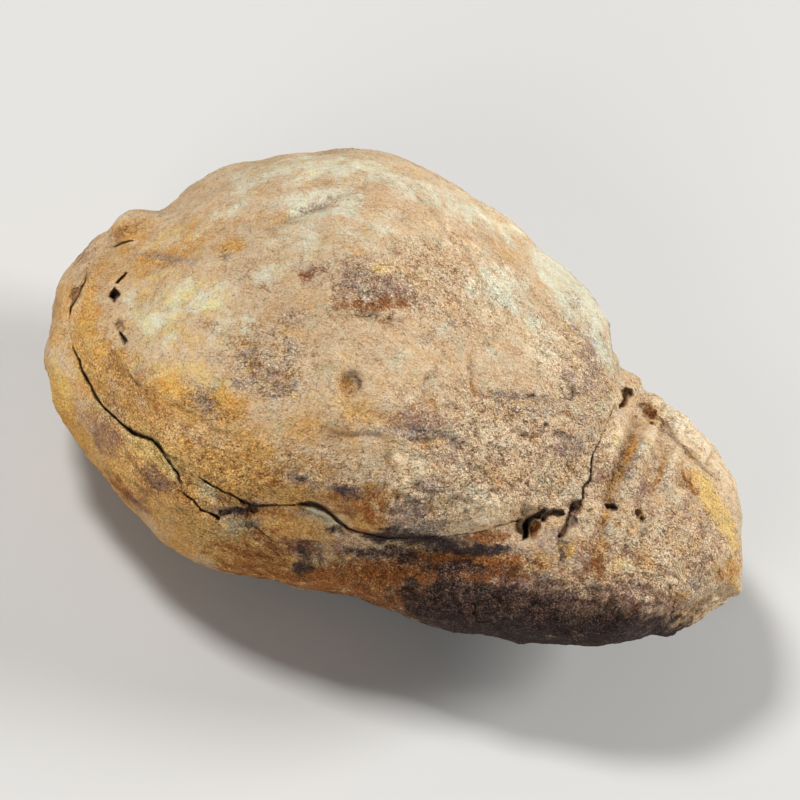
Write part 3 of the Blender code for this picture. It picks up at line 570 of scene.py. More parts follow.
class FossilStoneSettings(bpy.types.PropertyGroup):
    """Sizes and colours of the stone's surface."""

    voxel: length("Voxel", "Cell size of the first remesh", 0.00062)
    smoothing: IntProperty(name="Smoothing", description="Passes that round off the solid's facets", default=12)
    triangles: IntProperty(name="Triangles", description="Triangles of the finished stone", default=194000)
    furrow_depth: length("Furrow depth", "Extra depth of the thorax's ring furrows", 0.00045)
    grain_size: length("Grain size", "Width of the surface's coarse grain", 0.0011)
    grain_height: length("Grain height", "Height of the surface's coarse grain", 0.0005)
    pit_spacing: length("Pit spacing", "Least distance between small pits", 0.0021)
    pit_depth: length("Pit depth", "Depth of the small pits", 0.00028)
    seed: IntProperty(name="Seed", description="Places of the small pits", default=7)
    shadow_brown: shade("Shadow brown", "Stone in its deepest grains", (0.235, 0.135, 0.072))
    tan: shade("Tan", "Stone in its low grains", (0.41, 0.262, 0.145))
    buff: shade("Buff", "The stone's own colour", (0.60, 0.425, 0.258))
    cream: shade("Cream", "Stone on its high grains", (0.725, 0.562, 0.373))
    pale: shade("Pale", "Stone on its brightest grains", (0.90, 0.77, 0.565))
    crust: shade("Crust", "Pale crust on worn ground", (0.79, 0.595, 0.375))
    mint: shade("Mint", "Pale grey-green film", (0.66, 0.62, 0.46))
    ochre: shade("Ochre", "Iron staining", (0.60, 0.325, 0.10))
    yellow: shade("Yellow", "Yellow crust", (0.74, 0.49, 0.16))
    ember: shade("Ember", "Orange-brown iron crust", (0.31, 0.118, 0.034))
    rust: shade("Rust", "Rusty grains", (0.28, 0.13, 0.075))
    mauve: shade("Mauve", "Purple-brown film", (0.37, 0.225, 0.185))
    slate: shade("Slate", "Blue-grey grains", (0.26, 0.205, 0.18))
    # Partly a purple-black stain, partly painted shade low on the flank.
    dark: shade("Dark", "Purple-black film", (0.043, 0.026, 0.024))


class FossilStageSettings(bpy.types.PropertyGroup):
    """Sizes and lights of the stage."""

    floor_size: length("Floor size", "Side of the floor", 4.0)
    floor_colour: shade("Floor colour", "Plain pale floor", (0.60, 0.59, 0.57))
    key_power: FloatProperty(name="Key power", description="Watts of the overhead light", default=5.0)
    key_size: length("Key size", "Side of the overhead light", 0.16)
    side_power: FloatProperty(name="Side power", description="Watts of the light on the right", default=6.2)
    side_size: length("Side size", "Side of the light on the right", 0.24)
    front_power: FloatProperty(name="Front power", description="Watts of the low light in front", default=2.0)
    sky: FloatProperty(name="Sky", description="Brightness of the surroundings", default=0.1)


def smooth_step(value, low, high):
    """0 up to low, 1 from high on, and an even curve between them."""
    share = np.clip((value - low) / (high - low), 0, 1)
    return share * share * (3 - 2 * share)


def view_axes():
    """The right and up directions of the camera's frame, and the direction towards the camera."""
    back = Vector((0.0, -math.cos(VIEW_ELEVATION), math.sin(VIEW_ELEVATION)))
    level = Vector((1.0, 0.0, 0.0))
    upright = back.cross(level)
    right = level * math.cos(VIEW_ROLL) + upright * math.sin(VIEW_ROLL)
    up = upright * math.cos(VIEW_ROLL) - level * math.sin(VIEW_ROLL)
    return right, up, back


def to_frame(points):
    """Where points in millimetres fall in the camera's frame, in pixels."""
    right, up, back = (np.array(axis) for axis in view_axes())
    offset = points - np.array(LOOK_AT) / MM
    distance = VIEW_DISTANCE / MM
    scale = PIXELS_PER_MM * distance / (distance - offset @ back)
    return np.column_stack([LOOK_AT_PIXEL[0] + scale * (offset @ right), LOOK_AT_PIXEL[1] - scale * (offset @ up)])


def read_vectors(collection, key):
    """One vector from each item of a mesh's points or their normals."""
    flat = np.empty(len(collection) * 3, np.float32)
    collection.foreach_get(key, flat)
    return flat.reshape(-1, 3).astype(float)


def positions(mesh):
    """The mesh's points, in millimetres."""
    return read_vectors(mesh.vertices, "co") / MM


def set_positions(mesh, points):
    """Moves the mesh's points to these places in millimetres."""
    mesh.vertices.foreach_set("co", (points * MM).astype(np.float32).ravel())
    mesh.update()


def rough(points, wave, seed):
    """Smooth noise between about -1 and 1 at each point."""
    shift = Vector((17.3 * seed, 4.1, 9.7 * seed))
    return np.array([noise.noise(Vector(point) * (2 / wave) + shift) for point in points])


def waves(points, length, height, seed):
    """Height of smooth ground with this wave length."""
    return height * rough(points, length, seed)


def ridges(points, length, height, level, seed):
    """Height of ground that falls off on both sides of thin ridges, which stand this share of the height above zero."""
    return height * (level - np.abs(rough(points, length, seed)) * RIDGE_STEEPNESS)


def chips(points, size, steepness, seed):
    """Height of flat chips of about this size in millimetres, each tilted its own way, with sharp edges."""
    shift = Vector((31.7 * seed, 5.3, 12.9 * seed))
    # Without this seed, noise_vector takes its offsets from the clock, and no two runs agree.
    noise.seed_set(1)
    height = np.empty(len(points))
    for index, point in enumerate(points):
        place = Vector(point) / size + shift
        distances, middles = noise.voronoi(place)
        tilts = [noise.noise_vector(middle * 7.3).dot(place - middle) for middle in middles[:2]]
        edge = min((distances[1] - distances[0]) / CHIP_EDGE, 1.0)
        height[index] = tilts[0] * (0.5 + 0.5 * edge) + tilts[1] * (0.5 - 0.5 * edge)
    return steepness * (height * size)


def segment_distance(spots, a, b):
    """Distance of each spot from the line between two points, and how far along it the nearest place is."""
    share = np.clip((spots - a) @ (b - a) / np.dot(b - a, b - a), 0, 1)
    return np.linalg.norm(spots - a - share[:, None] * (b - a), axis=1), share


def path_distance(spots, path):
    """Distance of each spot from the path, and the path's width at the nearest place."""
    best = np.full(len(spots), 1e9)
    width = np.ones(len(spots))
    for start, end in zip(path[:-1], path[1:]):
        distance, share = segment_distance(spots, np.array(start[:2], float), np.array(end[:2], float))
        nearer = distance < best
        best[nearer] = distance[nearer]
        width[nearer] = (start[2] + share * (end[2] - start[2]))[nearer]
    return best, width


def outline_depth(spots, outline):
    """How far inside the closed outline each spot lies, negative outside it."""
    corners = np.array(outline, float)
    inside = np.zeros(len(spots), bool)
    best = np.full(len(spots), 1e9)
    for a, b in zip(corners, np.roll(corners, -1, axis=0)):
        best = np.minimum(best, segment_distance(spots, a, b)[0])
        crosses = (a[1] > spots[:, 1]) != (b[1] > spots[:, 1])
        rise = np.where(b[1] == a[1], 1e-9, b[1] - a[1])
        inside ^= crosses & (spots[:, 0] < a[0] + (spots[:, 1] - a[1]) * (b[0] - a[0]) / rise)
    return np.where(inside, best, -best)


def oval_distance(spots, x, y, half_length, half_width, angle):
    """Distance of each spot from an oval's middle, 1 on its edge."""
    turn = math.radians(angle)
    offset = spots - (x, y)
    along = offset @ (math.cos(turn), math.sin(turn))
    across = offset @ (-math.sin(turn), math.cos(turn))
    return np.hypot(along / half_length, across / half_width)


def patch_field(spots, patches):
    """Joint strength of soft oval patches at each spot."""
    clear = np.ones(len(spots))
    for x, y, half_length, half_width, angle, strength in patches:
        distance = oval_distance(spots, x, y, half_length, half_width, angle)
        clear *= 1 - strength * (1 - smooth_step(distance, 0.2, 1.45))
    return 1 - clear


class Surface:
    """The points of a mesh with what the relief and the stains ask of them. Spots are places in the camera's frame."""

    def __init__(self, mesh):
        self.points = positions(mesh)
        self.normals = read_vectors(mesh.vertex_normals, "vector")
        back = np.array(view_axes()[2])
        across = np.array((1, -1, 1))
        facing = self.normals @ back
        self.seen = smooth_step(facing, *RELIEF_FACING)
        self.stained = smooth_step(facing, *STAIN_FACING)
        self.spots = to_frame(self.points)
        self.mirrored_spots = to_frame(self.points * across)
        self.mirrored_seen = smooth_step((self.normals * across) @ back, *RELIEF_FACING)
        self.mirrored_seen *= smooth_step(self.points[:, 1], *MIRRORED_FROM) * (1 - self.seen)
        # Cracks and holes go in along the camera's line where the surface faces it, so their outlines hold.
        line = np.where(self.seen[:, None] > 0, back, back * across)
        share = smooth_step((self.normals * line).sum(axis=1), *STRAIGHT_CUT_FACING)[:, None]
        self.outwards = share * line + (1 - share) * self.normals
        self.outwards /= np.linalg.norm(self.outwards, axis=1)[:, None]
        self.wander = np.column_stack([rough(self.points, 1.6, 1), rough(self.points, 1.6, 2)])
        self.drift = np.column_stack([rough(self.points, 6, 6), rough(self.points, 6, 7)])

    def shifted(self, spots, small, broad):
        """The spots moved by the small and the broad wandering, by about this many pixels."""
        return spots + small * self.wander + broad * self.drift


def carve(surface):
    """The cracks and holes at each point: depth in millimetres, darkness of their painted shade and nearness, both 0 to
    1.
    """
    depth = np.zeros(len(surface.points))
    darkness = np.zeros(len(surface.points))
    nearness = np.zeros(len(surface.points))
    for spots, seen, shift, cracks, holes in (
        (surface.spots, surface.seen, NEAR_CUT_SHIFT, "", ""),
        (surface.mirrored_spots, surface.mirrored_seen, FAR_CUT_SHIFT, MIRRORED_CRACKS, MIRRORED_HOLES),
    ):
        spots = surface.shifted(spots, *shift)
        for name, most, dark, path in CRACKS:
            if not name.startswith(cracks):
                continue
            distance, width = path_distance(spots, path)
            half = np.maximum(width / 2, CRACK_LEAST_HALF_WIDTH)
            cut = np.minimum(width / CRACK_FULL_WIDTH, CRACK_MOST_DEPTH)
            cut = cut * (1 - smooth_step(distance, CRACK_WALLS[0] * half, CRACK_WALLS[1] * half)) * seen
            depth = np.maximum(depth, most * cut)
            darkness = np.maximum(darkness, dark * np.minimum(cut * CRACK_DARKENING, 1))
            nearness = np.maximum(nearness, (1 - smooth_step(distance, *FINE_BY_CRACKS)) * seen)
        for name, most, wall, dark, outline in HOLES:
            if not name.startswith(holes):
                continue
            inside = outline_depth(spots, outline)
            cut = smooth_step(inside, -HOLE_WALL_OUTSIDE * wall, wall) * seen
            depth = np.maximum(depth, most * cut)
            darkness = np.maximum(darkness, dark * smooth_step(cut, *HOLE_DARKENING))
            nearness = np.maximum(nearness, smooth_step(inside, *FINE_BY_HOLES) * seen)
    return depth, darkness, nearness


def swell(surface):
    """Height of the low swellings, troughs and scarps at each point."""
    height = np.zeros(len(surface.points))
    spots = surface.shifted(surface.spots, *SWELLING_SHIFT)
    for _, x, y, half_length, half_width, angle, rise in SWELLINGS:
        distance = oval_distance(spots, x, y, half_length, half_width, angle)
        height += rise * np.exp(-distance * distance * SWELLING_FALL) * surface.seen
    spots = surface.shifted(spots, *SCARP_SHIFT)
    for _, x, y, half_length, reach, angle, rise in SCARPS:
        turn = math.radians(angle)
        bent = spots - (x, y)
        along = bent @ (math.cos(turn), math.sin(turn))
        across = bent @ (math.sin(turn), -math.cos(turn))
        ends = 1 - smooth_step(np.abs(along), 0.4 * half_length, 1.2 * half_length)
        height += rise * np.tanh(across / SCARP_RUN) * np.exp(-np.abs(across) / reach) * ends * surface.seen
    return height


def undulation(surface):
    """Uneven ground: broad waves, lumps drawn out along the animal, and ridges and chips where the grain is coarse."""
    drawn = surface.points * DRAWN_OUT
    coarse = coarseness(surface)
    broad = waves(surface.points, length=8.0, height=0.22, seed=3) + waves(drawn, length=4.0, height=0.12, seed=4)
    folds = ridges(drawn, length=3.4, height=0.12, level=0.55, seed=8)
    folds += ridges(drawn, length=1.7, height=0.08, level=0.5, seed=9)
    facets = chips(drawn, size=2.6, steepness=0.30, seed=1) + chips(drawn, size=1.3, steepness=0.34, seed=2)
    return broad + coarse * folds + (SMOOTH_CHIPS + (1 - SMOOTH_CHIPS) * coarse) * facets


def coarseness(surface):
    """How coarse the grain is at each point, 0 to 1."""
    seen = patch_field(surface.shifted(surface.spots, *COARSE_SHIFT), COARSE_GROUND)
    hidden = 0.55 + 0.45 * rough(surface.points, 14, 5)
    return seen * surface.seen + hidden * (1 - surface.seen)


def take_modified_mesh(obj):
    """Gives the object its evaluated mesh in place of its modifiers."""
    graph = bpy.context.evaluated_depsgraph_get()
    made = bpy.data.meshes.new_from_object(obj.evaluated_get(graph))
    obj.modifiers.clear()
    old = obj.data
    obj.data = made
    bpy.data.meshes.remove(old)


def apply_modifier(obj, kind, **settings):
    """Applies one new modifier to the object."""
    modifier = obj.modifiers.new(kind.title(), kind)
    for name, value in settings.items():
        setattr(modifier, name, value)
    take_modified_mesh(obj)


def triangle_count(mesh):
    """How many triangles the mesh's faces make."""
    return sum(len(polygon.vertices) - 2 for polygon in mesh.polygons)


def copy_of_solid():
    """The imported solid's surface as a new closed mesh object."""
    mesh = bpy.data.meshes.new("stone_surface")
    shape = bmesh.new()
    shape.from_mesh(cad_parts[NODE].data)
    bmesh.ops.remove_doubles(shape, verts=shape.verts, dist=1e-6)
    shape.to_mesh(mesh)
    shape.free()
    stone = bpy.data.objects.new("stone_surface", mesh)
    bpy.context.scene.collection.objects.link(stone)
    return stone


def refine_near(obj, nearness, cuts):
    """Divides the edges whose ends both have a nearness over one half."""
    shape = bmesh.new()
    shape.from_mesh(obj.data)
    shape.verts.ensure_lookup_table()
    near = nearness > 0.5
    edges = [edge for edge in shape.edges if near[edge.verts[0].index] and near[edge.verts[1].index]]
    bmesh.ops.subdivide_edges(shape, edges=edges, cuts=cuts, use_grid_fill=True)
    bmesh.ops.triangulate(shape, faces=[face for face in shape.faces if len(face.verts) > 4])
    shape.to_mesh(obj.data)
    shape.free()


def round_off(stone, passes):
    """Smooths the solid's facets away and gives back what that took from its broad shapes."""
    apply_modifier(stone, "SMOOTH", factor=0.5, iterations=passes)
    once = positions(stone.data)
    apply_modifier(stone, "SMOOTH", factor=0.5, iterations=passes)
    set_positions(stone.data, 2 * once - positions(stone.data))


def shape_stone(stone, settings):
    """Makes the copy of the solid a fine mesh, with the cracks, the holes and all the uneven ground in it."""
    apply_modifier(stone, "REMESH", mode="VOXEL", voxel_size=settings.voxel)
    round_off(stone, settings.smoothing)
    refine_near(stone, Surface(stone.data).seen * 2, 1)
    apply_modifier(stone, "SMOOTH", factor=0.5, iterations=2)
    refine_near(stone, carve(Surface(stone.data))[2], 2)
    surface = Surface(stone.data)
    depth = carve(surface)[0]
    height = swell(surface)
    height += undulation(surface)
    points = surface.points + height[:, None] * surface.normals - depth[:, None] * surface.outwards
    set_positions(stone.data, points)
    write_mask(stone.data, "coarse", coarseness(surface))


def write_mask(mesh, name, values):
    """Keeps a number from 0 to 1 on each point of the mesh."""
    attribute = mesh.attributes.get(name) or mesh.attributes.new(name, "FLOAT", "POINT")
    attribute.data.foreach_set("value", np.clip(values, 0, 1).astype(np.float32))


def proudness(mesh, surface, passes):
    """How far each point stands out from its surroundings, in millimetres: below zero in a hollow."""
    ends = np.empty(len(mesh.edges) * 2, np.int32)
    mesh.edges.foreach_get("vertices", ends)
    ends = ends.reshape(-1, 2)
    count = np.bincount(ends.ravel(), minlength=len(surface.points)).clip(1)
    level = surface.points.copy()
    for _ in range(passes):
        total = np.zeros_like(level)
        for axis in range(3):
            total[:, axis] = np.bincount(ends[:, 0], level[ends[:, 1], axis], len(level))
            total[:, axis] += np.bincount(ends[:, 1], level[ends[:, 0], axis], len(level))
        level = 0.5 * level + 0.5 * total / count[:, None]
    stand = ((surface.points - level) * surface.normals).sum(axis=1)
    return stand - np.median(stand)


def chin_staining(points, field):
    """Strength of the iron staining low on the head, on the hidden sides."""
    chin = smooth_step(-points[:, 0], -4, 26) * smooth_step(30 - points[:, 2], 0, 12)
    return 0.75 * chin * smooth_step(field, -0.7, 0.3)


def low_dark_film_and_shade(points):
    """Strength of the dark film and painted shade low on the hidden sides: highest on the near flank, and gone towards
    the head.
    """
    edge = 13 + 7 * smooth_step(-points[:, 1], 5, 18) + 5 * rough(points, 9, 20)
    low = 0.9 * (1 - smooth_step(points[:, 2] - edge, -5, 2))
    return low * smooth_step(points[:, 0] + 6 * rough(points, 12, 21), -16, -2)


def paint_stains_and_shade(mesh):
    """Keeps each stain's strength, the cracks' painted shade and how far points stand out (painted shade and
    highlight).
    """
    surface = Surface(mesh)
    points = surface.points
    spots = surface.shifted(surface.spots, *STAIN_SHIFT)
    for number, (name, patches) in enumerate(STAINS.items()):
        wave, share = HIDDEN_STAINS[name]
        field = rough(points, wave, 10 + number) + 0.5 * rough(points, wave / 3, 30 + number)
        begin, end = (edge - HIDDEN_PER_SHARE * share for edge in HIDDEN_EDGES)
        hidden = HIDDEN_MOST * smooth_step(field, begin, end)
        if name == "ochre":
            hidden = 1 - (1 - hidden) * (1 - chin_staining(points, field))
        # Low on the hidden sides, the dark film stands partly for painted shade.
        if name == "dark":
            hidden = low_dark_film_and_shade(points)
        write_mask(mesh, name, patch_field(spots, patches) * surface.stained + hidden * (1 - surface.stained))
    # Painted shade in the cracks and holes, darker where they are deeper.
    write_mask(mesh, "crack", carve(surface)[1])
    # How far the points stand out, kept for painted shade in hollows and painted highlight on crests.
    fine, wide = (proudness(mesh, surface, passes) / most for passes, most in (FINE_RELIEF, WIDE_RELIEF))
    write_mask(mesh, "fine_hollow", -fine)
    write_mask(mesh, "fine_crest", fine)
    write_mask(mesh, "wide_hollow", -wide)


class Tree:
    """Adds nodes to a node tree from left to right, and links or sets their inputs."""

    def __init__(self, tree):
        self.tree = tree
        self.column = 0

    def add(self, kind, inputs=(), **settings):
        node = self.tree.nodes.new(kind)
        node.location = (self.column, 0)
        self.column += 180
        for name, value in settings.items():
            setattr(node, name, value)
        for name, value in dict(inputs).items():
            socket = node.inputs[name]
            if isinstance(value, bpy.types.NodeSocket):
                self.tree.links.new(value, socket)
            else:
                socket.default_value = value
        return node

    def math(self, operation, a, b=0.0, c=0.0):
        return self.add("ShaderNodeMath", {0: a, 1: b, 2: c}, operation=operation).outputs[0]

    def minus(self, a, b):
        return self.math("SUBTRACT", a, b)

    def times(self, first, *factors):
        for factor in factors:
            first = self.math("MULTIPLY", first, factor)
        return first

    def plus(self, total, *parts):
        """The total with each part added, times its weight."""
        for part, weight in parts:
            total = self.math("MULTIPLY_ADD", part, weight, total)
        return total

    def most(self, first, *others):
        for other in others:
            first = self.math("MAXIMUM", first, other)
        return first

    def vector(self, operation, a, b=None, scale=1.0):
        """A vector operation on a and b or, without b, on a and a scale."""
        inputs = {0: a, "Scale": scale} if b is None else {0: a, 1: b}
        node = self.add("ShaderNodeVectorMath", inputs, operation=operation)
        return node.outputs["Value" if operation == "DOT_PRODUCT" else "Vector"]

    def mix(self, factor, a, b, blend="MIX"):
        """Colour a with colour b over it or, for MULTIPLY, tinting it."""
        node = self.add("ShaderNodeMix", {0: factor, 6: a, 7: b}, data_type="RGBA", blend_type=blend)
        return node.outputs[2]

    def ramp(self, value, low, high):
        """0 up to low, 1 from high on, and an even curve between them."""
        inputs = {0: value, 1: low, 2: high, 3: 0.0, 4: 1.0}
        return self.add("ShaderNodeMapRange", inputs, interpolation_type="SMOOTHSTEP").outputs[0]

    def noise(self, vector, scale, detail=2.0, roughness=0.5):
        inputs = {"Vector": vector, "Scale": scale, "Detail": detail, "Roughness": roughness}
        return self.add("ShaderNodeTexNoise", inputs).outputs["Fac"]

    def swing(self, vector, scale, detail=2.0, roughness=0.5):
        """Noise about zero."""
        return self.minus(self.noise(vector, scale, detail, roughness), 0.5)

    def colours(self, value, steps, interpolation="LINEAR"):
        """A colour for each value, from steps of a position and a colour."""
        node = self.add("ShaderNodeValToRGB", {0: value})
        ramp = node.color_ramp
        ramp.interpolation = interpolation
        for index, (position, tint) in ((0, steps[0]), (1, steps[-1])):
            ramp.elements[index].position = position
            ramp.elements[index].color = colour(tint)
        for position, tint in steps[1:-1]:
            ramp.elements.new(position).color = colour(tint)
        return node.outputs["Color"]

    def group(self, group, **inputs):
        """The outputs of a node group, with its inputs by name."""
        named = {name.replace("_", " "): value for name, value in inputs.items()}
        return self.add("ShaderNodeGroup", named, node_tree=group).outputs


def colour(value):
    """Red, green and blue with an opaque fourth value, as nodes want them."""
    return (*value, 1.0)


def new_group(name, kind, inputs, outputs):
    """A node group, the Tree that fills it, and what it is given. Each input is a name, a type and a default."""
    group = bpy.data.node_groups.new(name, kind + "NodeTree")
    for label, socket_type, value in inputs:
        socket = group.interface.new_socket(label, in_out="INPUT", socket_type="NodeSocket" + socket_type)
        if value is not None:
            socket.default_value = value
    for label, socket_type in outputs:
        group.interface.new_socket(label, in_out="OUTPUT", socket_type="NodeSocket" + socket_type)
    tree = Tree(group)
    return group, tree, tree.add("NodeGroupInput").outputs


def finish_displacement(tree, given, amount):
    """Moves the given geometry along its normals, realizes it, sets its material and puts it out."""
    normal = tree.add("GeometryNodeInputNormal").outputs[0]
    offset = tree.vector("SCALE", normal, scale=amount)
    moved = tree.add("GeometryNodeSetPosition", {"Geometry": given["Geometry"], "Offset": offset})
    whole = tree.add("GeometryNodeRealizeInstances", {"Geometry": moved.outputs[0]})
    clad = tree.add("GeometryNodeSetMaterial", {"Geometry": whole.outputs[0], "Material": given["Material"]})
    tree.add("NodeGroupOutput", {"Geometry": clad.outputs[0]})


def ring_furrow_nodes():
    """Geometry Nodes: presses the thorax's ring furrows into the surface, at even steps along the animal."""
    group, tree, given = new_group(
        "thorax_ring_furrows",
        "Geometry",
        (
            ("Geometry", "Geometry", None),
            ("First", "Float", FURROW_FIRST * MM),
            ("Spacing", "Float", FURROW_SPACING * MM),
            ("Count", "Int", FURROW_COUNT),
            ("Half Width", "Float", 0.65 * MM),
            ("Depth", "Float", 0.8 * MM),
            ("Lobe Middle", "Float", LOBE_Y * MM),
            ("Lobe Half Width", "Float", LOBE_HALF_WIDTH * MM),
            ("Material", "Material", None),
        ),
        (("Geometry", "Geometry"),),
    )
    place = tree.add("GeometryNodeInputPosition").outputs[0]
    wander = tree.noise(place, 260.0, 1.0)
    parts = tree.add("ShaderNodeSeparateXYZ", {0: place}).outputs
    across = tree.math("ABSOLUTE", tree.minus(parts["Y"], given["Lobe Middle"]))
    along = tree.math("ADD", parts["X"], tree.times(wander, 0.9 * MM))
    along = tree.minus(along, 0.45 * MM)
    steps = tree.math("DIVIDE", tree.minus(along, given["First"]), given["Spacing"])
    last = tree.minus(given["Count"], 1.0)
    nearest = tree.math("MINIMUM", tree.most(tree.math("ROUND", steps), 0.0), last)
    off = tree.times(tree.minus(steps, nearest), given["Spacing"])
    off = tree.math("DIVIDE", off, given["Half Width"])
    furrow = tree.math("EXPONENT", tree.times(off, off, -1.0))
    fade = tree.minus(1.0, tree.times(nearest, 0.28))
    outer = tree.math("ADD", given["Lobe Half Width"], 11 * MM)
    on_lobe = tree.minus(1.0, tree.ramp(across, given["Lobe Half Width"], outer))
    upper = tree.ramp(parts["Z"], 14 * MM, 21 * MM)
    behind = tree.ramp(parts["X"], 22.0 * MM, 23.0 * MM)
    amount = tree.times(tree.times(furrow, fade), tree.times(on_lobe, upper))
    finish_displacement(tree, given, tree.times(amount, behind, given["Depth"], -1.0))
    return group


def weathering_nodes():
    """Geometry Nodes: scatters small pits over the surface and roughens it with streaky grain."""
    group, tree, given = new_group(
        "surface_weathering",
        "Geometry",
        (
            ("Geometry", "Geometry", None),
            ("Pit Spacing", "Float", 2.1 * MM),
            ("Pit Radius", "Float", 0.5 * MM),
            ("Pit Depth", "Float", 0.2 * MM),
            ("Grain Size", "Float", 0.8 * MM),
            ("Grain Height", "Float", 0.1 * MM),
            ("Seed", "Int", 7),
            ("Material", "Material", None),
        ),
        (("Geometry", "Geometry"),),
    )
    coarse = tree.add("GeometryNodeInputNamedAttribute", {"Name": "coarse"}, data_type="FLOAT").outputs[0]
    scatter = tree.add(
        "GeometryNodeDistributePointsOnFaces",
        {
            "Mesh": given["Geometry"],
            "Distance Min": given["Pit Spacing"],
            "Density Max": 260000.0,
            "Density Factor": tree.ramp(coarse, 0.1, 1.0),
            "Seed": given["Seed"],
        },
        distribute_method="POISSON",
    )
    near = tree.add("GeometryNodeProximity", {0: scatter.outputs["Points"]}, target_element="POINTS")
    place = tree.add("GeometryNodeInputPosition").outputs[0]
    size = tree.noise(place, 420.0, 1.0)
    radius = tree.times(size, 2.0, given["Pit Radius"])
    pit = tree.minus(1.0, tree.ramp(near.outputs["Distance"], 0.0, radius))
    pit = tree.times(pit, given["Pit Depth"], tree.ramp(size, 0.35, 0.6))
    streak = tree.vector("MULTIPLY", place, (0.45, 1.0, 1.0))
    per_metre = tree.math("DIVIDE", 1.0, given["Grain Size"])
    grain = tree.times(tree.swing(streak, per_metre, 3.0, 0.7), 2.0, given["Grain Height"])
    grain = tree.times(grain, tree.plus(0.15, (coarse, 0.85)))
    finish_displacement(tree, given, tree.minus(grain, pit))
    return group


def run_nodes(obj, group, **inputs):
    """Applies a Geometry Nodes tree to the object, with its named inputs set."""
    modifier = obj.modifiers.new(group.name, "NODES")
    modifier.node_group = group
    for item in group.interface.items_tree:
        if item.in_out == "INPUT" and item.name in inputs:
            modifier[item.identifier] = inputs[item.name]
    take_modified_mesh(obj)


def stain_group():
    """Shader group: breaks a stain's soft strength into a film with uneven edges and into separate grains."""
    group, tree, given = new_group(
        "granular_stain",
        "Shader",
        (
            ("Vector", "Vector", None),
            ("Strength", "Float", 0.0),
            ("Patch Size", "Float", 2.5),
            ("Grain Size", "Float", 0.3),
            ("Patchiness", "Float", 0.6),
            ("Graininess", "Float", 0.8),
        ),
        (("Film", "Float"), ("Grains", "Float")),
    )
    patch_scale = tree.math("DIVIDE", 1 / MM, given["Patch Size"])
    grain_scale = tree.math("DIVIDE", 1 / MM, given["Grain Size"])
    patches = tree.swing(given["Vector"], patch_scale, 4.0, 0.65)
    grains = tree.swing(given["Vector"], grain_scale, 3.0, 0.7)
    there = tree.ramp(given["Strength"], 0.02, 0.3)
    uneven = tree.plus(given["Strength"], (patches, tree.times(given["Patchiness"], 4.0)))
    spotty = tree.plus(uneven, (grains, tree.times(given["Graininess"], 4.0)))
    film = tree.times(tree.ramp(uneven, 0.05, 0.95), there)
    shown = tree.times(tree.ramp(spotty, 0.52, 0.80), there)
    tree.add("NodeGroupOutput", {"Film": film, "Grains": shown})
    return group


